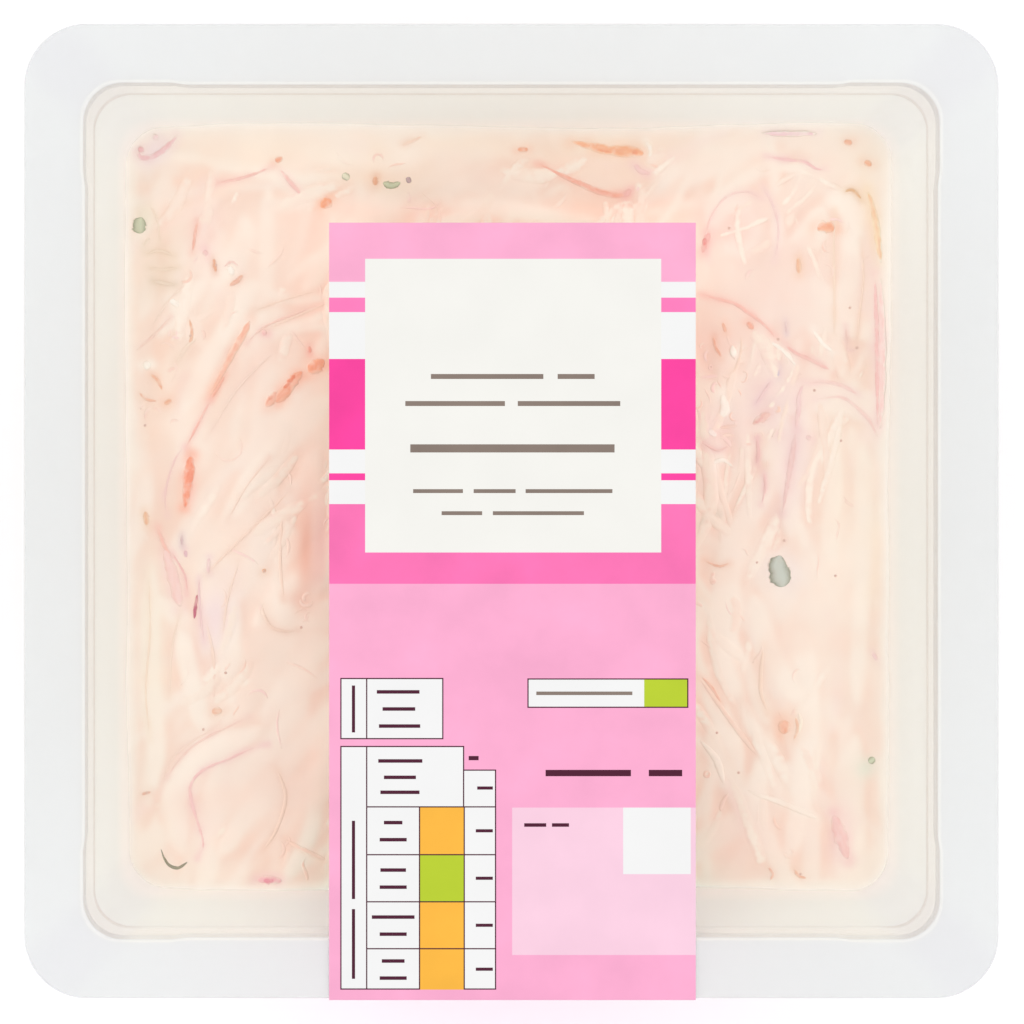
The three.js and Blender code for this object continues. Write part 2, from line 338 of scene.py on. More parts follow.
def noise(tree, vector, scale, detail=3.0, roughness=0.5):
    inputs = {"Vector": vector, "Scale": scale, "Detail": detail, "Roughness": roughness}
    return add_node(tree, "ShaderNodeTexNoise", inputs).outputs["Fac"]


def math_node(tree, operation, first, second):
    made = add_node(tree, "ShaderNodeMath", {0: first, 1: second}, operation=operation)
    return made.outputs[0]


def remap(tree, value, low, high, to_low, to_high):
    """A value from low to high, as the same share of the way from to_low to to_high."""
    inputs = {"Value": value, "From Min": low, "From Max": high, "To Min": to_low, "To Max": to_high}
    return add_node(tree, "ShaderNodeMapRange", inputs).outputs["Result"]


def noise_between(tree, value, low, high):
    """Noise, as a change from low to high."""
    return remap(tree, value, *NOISE_RANGE, low, high)


def blend_colours(tree, share, first, second, kind="MIX"):
    inputs = {0: share, 6: first, 7: second}
    return add_node(tree, "ShaderNodeMix", inputs, data_type="RGBA", blend_type=kind).outputs[2]


def object_place(tree):
    return add_node(tree, "ShaderNodeTexCoord").outputs["Object"]


def bump(tree, height, distance, strength=1.0):
    inputs = {"Height": height, "Distance": distance, "Strength": strength}
    return add_node(tree, "ShaderNodeBump", inputs).outputs["Normal"]


def mottle_group():
    """Soft cloudy change of a colour, as in ink laid on paper or plastic of uneven depth."""
    inputs = [
        ("Color", "NodeSocketColor", (1, 1, 1, 1)),
        ("Scale", "NodeSocketFloat", 60.0),
        ("Amount", "NodeSocketFloat", 0.05),
    ]
    outputs = [("Color", "NodeSocketColor"), ("Mask", "NodeSocketFloat"), ("Grain", "NodeSocketFloat")]
    group = new_group("mottle", inputs, outputs)
    given = group.nodes.new("NodeGroupInput").outputs
    cloud = noise(group, object_place(group), given["Scale"], detail=4)
    grain_scale = math_node(group, "MULTIPLY", given["Scale"], GRAIN_TO_CLOUD)
    grain = noise(group, object_place(group), grain_scale, detail=2)
    change = math_node(group, "MULTIPLY", noise_between(group, cloud, -1.0, 1.0), given["Amount"])
    scaling = {0: given["Color"], "Scale": math_node(group, "ADD", change, 1.0)}
    scaled = add_node(group, "ShaderNodeVectorMath", scaling, operation="SCALE")
    add_node(group, "NodeGroupOutput", {"Color": scaled.outputs[0], "Mask": cloud, "Grain": grain})
    return group


MOTTLE = mottle_group()


def mottled(tree, colour, scale, amount):
    """The outputs of the mottle group, placed in a material: its colour, its clouds and its grain."""
    inputs = {"Color": colour, "Scale": scale, "Amount": amount}
    return add_node(tree, "ShaderNodeGroup", inputs, node_tree=MOTTLE).outputs


# ---------------------------------------------------------------- materials


def frosted_plastic():
    """Milky see-through plastic. Its stored tone holds painted light: shade lines and a highlight at
    the rim, and a wall warmed by painted light bounced from the salad and a haze of dressing.
    """
    material, tree = new_material("frosted_tray_plastic")
    colour, cloud, grain = mottled(tree, stored(tree, "tone"), scale=35.0, amount=0.01)
    inputs = {
        "Base Color": colour,
        "Roughness": noise_between(tree, cloud, 0.3, 0.4),
        "Alpha": TRAY_ALPHA,
        "IOR": 1.49,
        "Normal": bump(tree, grain, distance=0.00001),
    }
    end_in(tree, principled(tree, inputs))
    return material


def clear_film():
    """Thin clear film: glass for the camera, and nothing for shadows and soft light."""
    material, tree = new_material("clear_lid_film")
    colour = mottled(tree, (0.995, 0.995, 0.995, 1), scale=25.0, amount=0.003)["Color"]
    inputs = {"Base Color": colour, "Roughness": 0.0, "IOR": 1.45, "Transmission Weight": 1.0}
    ray = add_node(tree, "ShaderNodeLightPath").outputs
    through = math_node(tree, "MAXIMUM", ray["Is Shadow Ray"], ray["Is Diffuse Ray"])
    clear = add_node(tree, "ShaderNodeBsdfTransparent").outputs[0]
    both = add_node(tree, "ShaderNodeMixShader", {0: through, 1: principled(tree, inputs), 2: clear})
    end_in(tree, both.outputs[0])
    return material


def printed_paper():
    """Coated label paper: the printed colour of each field over fine grain. The deeper the ink,
    the more it clouds."""
    material, tree = new_material("printed_label_paper")
    field = stored(tree, "ink")
    green = add_node(tree, "ShaderNodeSeparateColor", {"Color": field}).outputs["Green"]
    clouding = remap(tree, green, 0.2, 0.75, 0.07, 0.012)
    colour, cloud, grain = mottled(tree, field, scale=110.0, amount=clouding)
    inputs = {
        "Base Color": colour,
        "Roughness": noise_between(tree, cloud, 0.45, 0.55),
        "Specular IOR Level": 0.1,
        "Normal": bump(tree, grain, distance=0.000005),
    }
    end_in(tree, principled(tree, inputs))
    return material


def dressed_surface():
    """The dressed salad: its stored colours, with painted shade and light in them, under a thin,
    uneven, moist coat of dressing.
    """
    material, tree = new_material("dressed_salad")
    colour, cloud, grain = mottled(tree, stored(tree, "tint"), scale=260.0, amount=0.015)
    height = math_node(tree, "ADD", cloud, math_node(tree, "MULTIPLY", grain, 0.05))
    inputs = {
        "Base Color": colour,
        "Roughness": noise_between(tree, cloud, 0.3, 0.5),
        "Specular IOR Level": 0.4,
        "Normal": bump(tree, height, distance=0.00003),
    }
    end_in(tree, principled(tree, inputs))
    return material


def shred_flesh(name, gloss, streaks, coat, full=1.0):
    """Cut vegetable: streaks along its fibres deepen its own tint. The dressing creeps over its
    sides in uneven patches, up to where it stands out by the full share of its rise."""
    material, tree = new_material(name)
    own = stored(tree, "tint")
    along = {"Vector": stored(tree, "grain", "Vector"), "Scale": (0.5, 1.6, 1.0)}
    stretched = add_node(tree, "ShaderNodeMapping", along).outputs[0]
    fibre = noise(tree, stretched, 1.3, detail=4)
    deeper = blend_colours(tree, 1.0, own, (0.95, 0.76, 0.68, 1), kind="MULTIPLY")
    flesh = blend_colours(tree, remap(tree, fibre, 0.4, 0.62, 0.0, streaks), own, deeper)
    patch = noise(tree, object_place(tree), 900.0, detail=3, roughness=0.6)
    swing = noise_between(tree, patch, -coat, coat)
    bare = math_node(tree, "ADD", stored(tree, "cover", "Fac"), swing)
    share = remap(tree, bare, 0.25 * full, full, 0.0, 1.0)
    inputs = {
        "Base Color": blend_colours(tree, share, stored(tree, "beside"), flesh),
        "Roughness": noise_between(tree, patch, gloss, gloss + 0.18),
        "Specular IOR Level": 0.4,
        "Normal": bump(tree, fibre, distance=0.00002),
    }
    end_in(tree, principled(tree, inputs))
    return material


# ---------------------------------------------------------------- tray


# The tray's tones hold painted light: painted shade lines in the folds of the rim and a painted
# highlight beside them. The wall is painted lighter than the flange, against the lower light on it.
# Near the salad it is warm with painted light bounced from the salad, partly a haze of dressing, and it
# is darker in a painted shade just under the step. The corners are painted a little darker and cooler,
# and the front a little lighter and warmer where the label shades it.
FLANGE_TONE = (0.672, 0.687, 0.682)
RIM_SHINE = (0.80, 0.80, 0.775)
RIM_SHADE = (0.45, 0.39, 0.33)
STEP_TONE = (0.80, 0.715, 0.61)
STEP_SHADE = (0.56, 0.46, 0.36)
WALL_TONE = (0.815, 0.82, 0.74)
WALL_SHADE_UNDER_STEP = (0.785, 0.77, 0.68)
WALL_PAINTED_BOUNCE_AND_HAZE = (0.99, 0.89, 0.77)
BASE_TONE = (0.86, 0.80, 0.72)
CORNER_PAINTED_SHADE = (0.955, 0.945, 0.97)
FRONT_PAINTED_LIGHT = (1.015, 1.005, 0.975)
TRAY_ALPHA = 0.42
FULL_TONE = 0.99
FOLD_TONE_SUM = 1.9
FRONT_FOLD_FADE = 0.6

# Places round the tray: sparse along the sides, close where the lugs start and in the corners.
ROUND_TRAY = turning_square(
    np.concatenate([np.linspace(0, 0.7, 8), np.linspace(0.74, 0.88, 9), np.linspace(0.893, 1, 11)])
)


def column(*values):
    """Values, one for each ring, set to spread over the points of a ring."""
    return np.array(values, float)[:, None]


def round_rings(places, depth):
    """The round at the foot of the wall, on the skin that lies depth inside the outer one.

    It is an arc from straight down to square to the wall, and rises to the base's middle level
    between the corner feet."""
    turn = np.linspace(-np.pi / 2, -WALL_ANGLE, BASE_ROUND_STEPS)[:, None]
    half = BASE_ROUND_CENTRE + (BASE_ROUND - depth) * np.cos(turn)
    z = BASE_ROUND + (BASE_ROUND - depth) * np.sin(turn)
    lift = np.maximum(z, BASE_RISE + depth) - z
    return ring_points(places, half, WALL_CORNER, z, 0.0, half - FOOT_INNER, FOOT_BLEND, lift)


def base_rings(places, depth):
    """The base from its raised middle, over the inner edge of the feet, to the round."""
    half = column(FOOT_INNER, FOOT_INNER + FOOT_BLEND / 2, FOOT_INNER + FOOT_BLEND)
    z = column(BASE_RISE, BASE_RISE / 2, 0) + depth
    lug = half - FOOT_INNER
    lug[0] = FOOT_BLEND
    feet = ring_points(places, half, FOOT_CORNER, z, 0.0, lug, FOOT_BLEND, BASE_RISE + depth - z)
    return np.concatenate([feet, round_rings(places, depth)])


def quarter_round(half, z, radius, inward):
    """Half widths and heights along a rounded edge, from the flat top to the upright side."""
    turn = np.linspace(0, np.pi / 2, ARC_STEPS)[:, None]
    reach = radius * (1 - np.sin(turn)) * (1 if inward else -1)
    return half + reach, z - radius * (1 - np.cos(turn))


def tray_stretches(places):
    """The tray's rings from the middle of its inside, out over the flange, and back down its
    outside, as stretches: their points, and the tone of each ring."""
    rim_half, rim_z = quarter_round(OPENING_HALF, FLANGE_TOP, RIM_ROUND, inward=True)
    edge_half, edge_z = quarter_round(FLANGE_HALF, FLANGE_TOP, FLANGE_EDGE_ROUND, inward=False)
    under = FLANGE_TOP - FLANGE_THICKNESS
    step_half, step_corner = OPENING_HALF - STEP_INSET, OPENING_CORNER - 0.25
    foot_half = wall_half(column(STEP_FOOT))
    wall_z = column(30, 33, 36, 40, STEP_FOOT - 0.45, STEP_FOOT - 0.12)
    shapes = [
        # Half width, corner and height of each ring, and whether the lugs stand out of it.
        (wall_half(wall_z), WALL_CORNER, wall_z, False),
        (foot_half + column(0.06, 0.25), WALL_CORNER, STEP_FOOT + column(0.06, 0.1), False),
        (
            step_half + column(-0.25, -0.1, 0, 0), step_corner,
            STEP_FLOOR + column(-0.13, -0.03, 0.1, 0.5), True,
        ),
        (rim_half[::-1], OPENING_CORNER, rim_z[::-1], True),
        (rim_half[:1] + 0.25, OPENING_CORNER, FLANGE_TOP, True),
        (edge_half, FLANGE_CORNER, edge_z, False),
        (column(FLANGE_HALF), FLANGE_CORNER, under, False),
        (rim_half[:1] + WALL_THICKNESS, OPENING_CORNER, under, True),
        (
            step_half + WALL_THICKNESS + column(0.1, 0, -0.1), step_corner,
            column(under - 0.6, STEP_FOOT, STEP_FOOT - 0.2), True,
        ),
        (foot_half + WALL_SKIN - 0.18, WALL_CORNER, STEP_FOOT - 0.5, False),
    ]
    tones = [
        [WALL_PAINTED_BOUNCE_AND_HAZE, WALL_PAINTED_BOUNCE_AND_HAZE, WALL_TONE, WALL_TONE, WALL_SHADE_UNDER_STEP, STEP_SHADE],
        [STEP_SHADE, STEP_TONE],
        [STEP_TONE, STEP_TONE, RIM_SHADE, RIM_SHADE],
        [RIM_SHADE, RIM_SHADE, FLANGE_TONE, RIM_SHINE, RIM_SHINE],
        *[[FLANGE_TONE] * count for count in (1, ARC_STEPS, 1, 1)],
        [WALL_TONE] * 3,
        [WALL_TONE],
    ]
    rings = [
        ring_points(places, half, corner, z, LUG_OUT if lugs else 0.0)
        for half, corner, z, lugs in shapes
    ]
    inside, outside = base_rings(places, WALL_THICKNESS), base_rings(places, 0.0)[::-1]
    floor = [[BASE_TONE] * len(inside)]
    foot = [[WALL_PAINTED_BOUNCE_AND_HAZE] * BASE_ROUND_STEPS + [BASE_TONE] * (len(outside) - BASE_ROUND_STEPS)]
    return zip([inside, *rings, outside], floor + tones + foot)


def make_tray():
    """The tray's one closed skin. Each ring has its own tone, with painted light in it: painted shade
    in the folds of the rim, less so at the front, a painted highlight beside it, and a wall warmed
    by painted light bounced from the salad and a haze of dressing. The corners are painted a little
    darker and cooler, and the front a little lighter and warmer, where the label shades it."""
    stretches = list(tray_stretches(ROUND_TRAY))
    rings = np.concatenate([rings for rings, tones in stretches])
    tones = np.concatenate([np.array(tones, float) for rings, tones in stretches])
    points, faces = closed_loft(rings, BASE_RISE + WALL_THICKNESS, BASE_RISE)
    plastic = frosted_plastic()
    piece = make_piece("frosted_tray", points, faces, plastic, "tray", sharp=50)
    corner = smooth_step((np.abs(ROUND_TRAY).min(axis=1) - 0.86) / 0.1)[:, None]
    front = smooth_step((-ROUND_TRAY[:, 1] - 0.9) / 0.1)[:, None] * (1 - corner)
    flange = (tones == FLANGE_TONE).all(axis=1)[:, None, None]
    # Painted light: darker, cooler corners, and a lighter, warmer front below the flange.
    painted_light_cast = mix(mix(1.0, np.array(FRONT_PAINTED_LIGHT), front * ~flange), np.array(CORNER_PAINTED_SHADE), corner)
    folds = (tones.sum(axis=1) < FOLD_TONE_SUM)[:, None, None]
    tones = mix(tones[:, None], np.array(WALL_TONE), FRONT_FOLD_FADE * folds * front)
    colours = np.minimum(tones * painted_light_cast, FULL_TONE).reshape(-1, 3)
    give_colours(piece, "tone", np.concatenate([colours, [BASE_TONE, BASE_TONE]]))


# ---------------------------------------------------------------- film and label


def film_rise(x, y):
    """How far the drawn film lies off flat: slight waves that die out at the sealed flange."""
    reach = np.maximum(np.abs(x), np.abs(y))
    free = smooth_step((OPENING_HALF - reach) / FILM_FREE_REACH)
    wave = np.sin(x / 9.0 + 0.8 * np.sin(y / 17.0)) + 0.7 * np.sin(y / 11.0 + 1.3 * np.cos(x / 23.0))
    return -FILM_RIPPLE * free * (1 + 0.5 * wave)


def make_film():
    """The lid film: rings over a square, its upper face and, a foil's depth lower, its under face."""
    shares = np.linspace(0.04, 1, FILM_RINGS)[:, None]
    half, corner = (FLANGE_HALF - FILM_INSET) * shares, (FLANGE_CORNER - FILM_INSET) * shares
    rings = ring_points(ROUND_TRAY, half, corner, 0.0, 0.0, LUG_LENGTH * shares)
    rings[..., 2] = FILM_TOP + film_rise(rings[..., 0], rings[..., 1])
    below = rings[::-1].copy()
    below[..., 2] -= FILM_THICKNESS
    middle = FILM_TOP + film_rise(0.0, 0.0)
    points, faces = closed_loft(np.concatenate([rings, below]), middle, middle - FILM_THICKNESS)
    make_piece("clear_film", points, faces, clear_film(), "lid_film", sharp=40)


# The label's printed fields, each from left, from back edge, to right, to front, in millimetres
# from the label's far left corner, and its ink. Later fields lie over earlier ones.
PALE_PINK = ink(254, 176, 212)
MID_PINK = ink(255, 129, 191)
FULL_PINK = ink(255, 120, 185)
MAGENTA = ink(255, 70, 164)
FAINT_PINK = ink(252, 210, 229)
LABEL_WHITE = ink(246, 246, 246)
PANEL_WHITE = ink(246, 245, 240)
TAUPE = ink(141, 126, 117)
PLUM = ink(82, 32, 54)
AMBER = ink(255, 188, 70)
LEAF_GREEN = ink(189, 211, 53)

PAPER = 0.81
LABEL_ACROSS = LABEL_RIGHT - LABEL_LEFT
PANEL = (5.06, 5.07, 46.65, 46.32)
LINE = 0.18
DASH = 0.5
UPRIGHT_DASH = (3.2, 3.65)


def stripes():
    """The bands across the label, as the ink of each and where it ends."""
    bands = [
        (8.3, PALE_PINK), (10.52, LABEL_WHITE), (12.56, MID_PINK), (19.14, LABEL_WHITE),
        (31.86, MAGENTA), (35.2, LABEL_WHITE), (36.18, MAGENTA), (39.52, LABEL_WHITE),
        (50.72, FULL_PINK), (400.0, PALE_PINK),
    ]
    start, fields = 0.0, []
    for end, colour in bands:
        fields.append((0.0, start, LABEL_ACROSS, end, colour))
        start = end
    return fields


def dashes(words, middle, thickness, colour):
    """A line of plain dashes, one for each stretch of words, centred at a distance down."""
    low, high = middle - thickness / 2, middle + thickness / 2
    return [(left, low, right, high, colour) for left, right in words]


def boxed(left, back, right, front, colour):
    """A field with a thin dark outline."""
    inner = (left + LINE, back + LINE, right - LINE, front - LINE, colour)
    return [(left, back, right, front, PLUM), inner]


def rules(places, back, front):
    """Thin upright lines in a table."""
    return [(x - LINE / 2, back, x + LINE / 2, front, PLUM) for x in places]


def facts_table():
    """A small box and a larger ruled table with coloured cells and plain dashes as entries."""
    left, split, cells, edge, right = 1.57, 5.28, 12.7, 18.98, 23.47
    small, large = (63.93, 72.56), (73.48, 107.72)
    rows = [82.05, 88.77, 95.38, 101.97, large[1]]
    fields = boxed(left, small[0], 16.06, small[1], LABEL_WHITE)
    fields += boxed(left, large[0], edge, large[1], LABEL_WHITE)
    fields += boxed(edge - LINE, 76.8, right, large[1], LABEL_WHITE)
    fields += rules([split], *small) + rules([split], *large)
    for back, front in [(65.0, 71.6), (84.0, 95.0), (96.4, 106.2)]:
        fields += [(UPRIGHT_DASH[0], back, UPRIGHT_DASH[1], front, PLUM)]
    entries = [
        (6.7, 12.7, 65.9), (7.5, 12.1, 68.3), (7.0, 12.8, 70.7), (6.9, 13.1, 75.6), (7.7, 12.2, 77.9),
        (7.2, 12.7, 80.0),
    ]
    for start, end, middle in entries:
        fields += dashes([(start, end)], middle, DASH, PLUM)
    fields += dashes([(19.6, 21.0)], 75.2, 0.6, PLUM)
    fields += dashes([(20.8, 23.0)], 79.4, 0.45, PLUM)
    tints = [AMBER, LEAF_GREEN, AMBER, AMBER]
    widths = [1.3, 1.8, 3.0, 1.6]
    for back, front, tint, width in zip(rows[:-1], rows[1:], tints, widths):
        middle = (back + front) / 2
        fields += [(cells, back, edge, front, tint)]
        fields += [(split, back - LINE / 2, right, back + LINE / 2, PLUM)]
        fields += dashes([(9.0 - width, 9.0 + width)], middle - 1.15, DASH, PLUM)
        fields += dashes([(7.1, 10.9)], middle + 1.25, DASH, PLUM)
        fields += dashes([(20.6, 23.0)], middle, 0.45, PLUM)
    return fields + rules([cells, edge], rows[0], rows[-1])


def label_fields():
    """Every field of the print: stripes, the pale panel, the tables, the tick box and the field
    for the date."""
    fields = stripes()
    fields += [(*PANEL, PANEL_WHITE)]
    fields += dashes([(14.3, 30.1), (32.1, 37.3)], 21.6, 0.7, TAUPE)
    fields += dashes([(10.7, 24.7), (26.5, 40.9)], 25.4, 0.7, TAUPE)
    fields += dashes([(11.4, 40.1)], 31.7, 1.15, TAUPE)
    fields += dashes([(11.8, 18.8), (20.3, 26.2), (27.6, 39.8)], 37.7, 0.55, TAUPE)
    fields += dashes([(15.8, 21.5), (23.0, 35.8)], 40.8, 0.55, TAUPE)
    fields += facts_table()
    tick_left, tick_back, tick_right, tick_front = 27.85, 64.0, 50.47, 68.15
    fields += boxed(tick_left, tick_back, tick_right, tick_front, LABEL_WHITE)
    fields += [(44.26, tick_back + LINE, tick_right - LINE, tick_front - LINE, LEAF_GREEN)]
    fields += dashes([(29.1, 42.6)], 66.1, DASH, TAUPE)
    fields += dashes([(30.4, 42.4), (44.9, 49.6)], 77.3, 0.9, PLUM)
    date_back = 82.15
    fields += [(25.71, date_back, LABEL_ACROSS, 102.85, FAINT_PINK)]
    fields += [(41.3, date_back, 50.8, 91.5, LABEL_WHITE)]
    fields += dashes([(27.4, 30.5), (31.3, 33.7)], 84.6, DASH, PLUM)
    return fields


def turned(vector, angle):
    """A vector in a plane, turned by an angle, or by each of many."""
    x = vector[0] * np.cos(angle) - vector[1] * np.sin(angle)
    y = vector[0] * np.sin(angle) + vector[1] * np.cos(angle)
    return np.stack([x, y], axis=-1)


def rounded_path(corners, radii, arc_steps=7):
    """Points along straight runs whose corners are arcs, tangent to the runs on both sides."""
    corners = np.array(corners, float)
    path = [corners[:1]]
    for i, radius in enumerate(radii, start=1):
        back = corners[i - 1] - corners[i]
        ahead = corners[i + 1] - corners[i]
        back, ahead = back / np.linalg.norm(back), ahead / np.linalg.norm(ahead)
        half_angle = np.arccos(back @ ahead) / 2
        middle = (back + ahead) / np.linalg.norm(back + ahead)
        centre = corners[i] + middle * radius / np.sin(half_angle)
        spoke = corners[i] + back * radius / np.tan(half_angle) - centre
        sweep = np.pi - 2 * half_angle
        side = np.sign(back[1] * ahead[0] - back[0] * ahead[1])
        path.append(centre + turned(spoke, np.linspace(0, sweep, arc_steps) * side))
    path.append(corners[-1:])
    return np.concatenate(path)


def label_route():
    """The label's way from its back edge over the front of the flange and under the base."""
    top = FILM_TOP + LABEL_THICKNESS / 2
    front = -(FLANGE_HALF + LABEL_GAP + LABEL_THICKNESS / 2)
    under = BASE_RISE - LABEL_GAP - LABEL_THICKNESS / 2
    edge = np.array([front, FLANGE_TOP - FLANGE_THICKNESS - LABEL_GAP])
    slope = np.array([-BASE_ROUND_CENTRE, BASE_ROUND]) - edge
    clearance = BASE_ROUND + LABEL_GAP + LABEL_THICKNESS / 2
    slope = turned(slope, -np.arcsin(clearance / np.linalg.norm(slope)))
    foot = edge[0] + slope[0] * (under - edge[1]) / slope[1]
    corners = [(LABEL_BACK, top), (front, top), tuple(edge), (foot, under), (foot + LABEL_UNDER, under)]
    return rounded_path(corners, [LABEL_EDGE_ROUND, LABEL_EDGE_ROUND, LABEL_BASE_ROUND])


def label_cells(fields, reach):
    """Where the label is cut across and along its way: at every border of a field, at every bend,
    and often enough in between."""
    across = [v for f in fields for v in (f[0], f[2])] + list(np.arange(0, LABEL_ACROSS, LABEL_CELL))
    down = [v for f in fields for v in (f[1], f[3])] + list(reach)
    down += list(np.arange(0, reach[-1], LABEL_CELL))
    limits = ((across, LABEL_ACROSS), (down, reach[-1]))
    return [np.unique(np.round(np.clip(borders, 0, limit), 3)) for borders, limit in limits]


def sheet_faces(rows, count):
    """The quads of a thin sheet, whose outer grid of points comes before its inner one: its outer
    face, its inner face, and its rims."""
    size = rows * count
    outer = grid_faces(rows, count, closed=False)
    inner = grid_faces(rows, count, start=size, closed=False)[:, ::-1]
    first = np.arange(count - 1)
    last = (rows - 1) * count + first
    start = np.arange(rows - 1) * count
    end = start + count - 1
    runs = [(first, first + 1), (last + 1, last), (start + count, start), (end, end + count)]
    rims = [np.stack([here, after, after + size, here + size], axis=1) for here, after in runs]
    return [outer, inner, np.concatenate(rims)]


def make_label():
    """A thin sheet bent along the label's way. It is cut into cells along the borders of its
    fields, and each cell's corners take the ink of the last field that covers it."""
    fields = label_fields()
    route = label_route()
    steps = np.linalg.norm(np.diff(route, axis=0), axis=1)
    reach = np.concatenate([[0], np.cumsum(steps)])
    across, down = label_cells(fields, reach)
    y = np.interp(down, reach, route[:, 0])
    z = np.interp(down, reach, route[:, 1])
    slope = np.gradient(np.stack([y, z], axis=1), down, axis=0)
    normal = np.stack([-slope[:, 1], slope[:, 0]], axis=1)
    normal /= -np.linalg.norm(normal, axis=1, keepdims=True)
    x_grid = np.broadcast_to(LABEL_LEFT + across, (len(down), len(across)))

    def face(side):
        py = (y + normal[:, 0] * side * LABEL_THICKNESS / 2)[:, None]
        pz = (z + normal[:, 1] * side * LABEL_THICKNESS / 2)[:, None]
        flat = (down < reach[1])[:, None]
        rise = np.where(flat, film_rise(x_grid, py), 0.0)
        return np.stack(np.broadcast_arrays(x_grid, py, pz + rise), axis=-1).reshape(-1, 3)

    points = np.concatenate([face(1), face(-1)])
    faces = sheet_faces(len(down), len(across))
    piece = make_piece("wrap_label", points, faces, printed_paper(), "label", sharp=35)
    middle_x = (across[:-1] + across[1:]) / 2
    middle_s = (down[:-1] + down[1:]) / 2
    inks = np.broadcast_to(LABEL_WHITE, (len(middle_s), len(middle_x), 3)).copy()
    for left, back, right, front, colour in fields:
        rows_in = (middle_s > back) & (middle_s < front)
        columns_in = (middle_x > left) & (middle_x < right)
        inks[np.ix_(rows_in, columns_in)] = colour * PAPER
    bare = np.broadcast_to(LABEL_WHITE, (len(faces[1]) + len(faces[2]), 3))
    cells = np.concatenate([inks.reshape(-1, 3), bare])
    give_colours(piece, "ink", np.repeat(cells, 4, axis=0), "CORNER")


# ---------------------------------------------------------------- salad as rasters


# Painted light in the salad's colours: warm painted shade in the gaps between shreds, partly the
# dressing's own colour there; painted shade along the shreds' edges; and paler painted light towards
# the tray's wall, palest right at it.
GAP_SHADE_TINT = ink(246, 210, 190)
EDGE_SHADE_TINT = ink(245, 208, 188)
RIM_TINT = ink(249, 237, 222)
RIM_GLOW = ink(253, 245, 236)
DRESSING = ink(250, 230, 214)
CREAM = [
    ink(250, 232, 216), ink(250, 227, 211), ink(252, 236, 221), ink(249, 223, 206), ink(249, 229, 215),
]
PALEST = CREAM[2]
PEACH = ink(248, 215, 196)
BLUSH = ink(247, 210, 202)
CARROT = ink(250, 197, 166)
FIBRE_TINTS = [
    ink(250, 220, 205), ink(249, 215, 206), ink(249, 220, 204), ink(249, 211, 192), ink(247, 212, 196),
]

# The kinds of laid shreds: the share of them up to each kind, its tints, and how much they cover.
LAID_KINDS = [(0.8, CREAM, 0.9), (0.9, [PEACH], 0.7), (0.97, [BLUSH], 0.6), (1.0, [CARROT], 0.35)]


def blur(field, reach):
    """A field softened over a reach in millimetres: three box means, each a running sum."""
    width = max(1, int(round(reach / RASTER_PITCH)))
    for _ in range(3):
        for axis in (0, 1):
            pad = [(0, 0)] * field.ndim
            pad[axis] = (width + 1, width)
            total = np.cumsum(np.pad(field, pad, mode="edge"), axis=axis)
            span = 2 * width + 1
            high = np.take(total, np.arange(span, total.shape[axis]), axis=axis)
            low = np.take(total, np.arange(0, total.shape[axis] - span), axis=axis)
            field = (high - low) / span
    return field


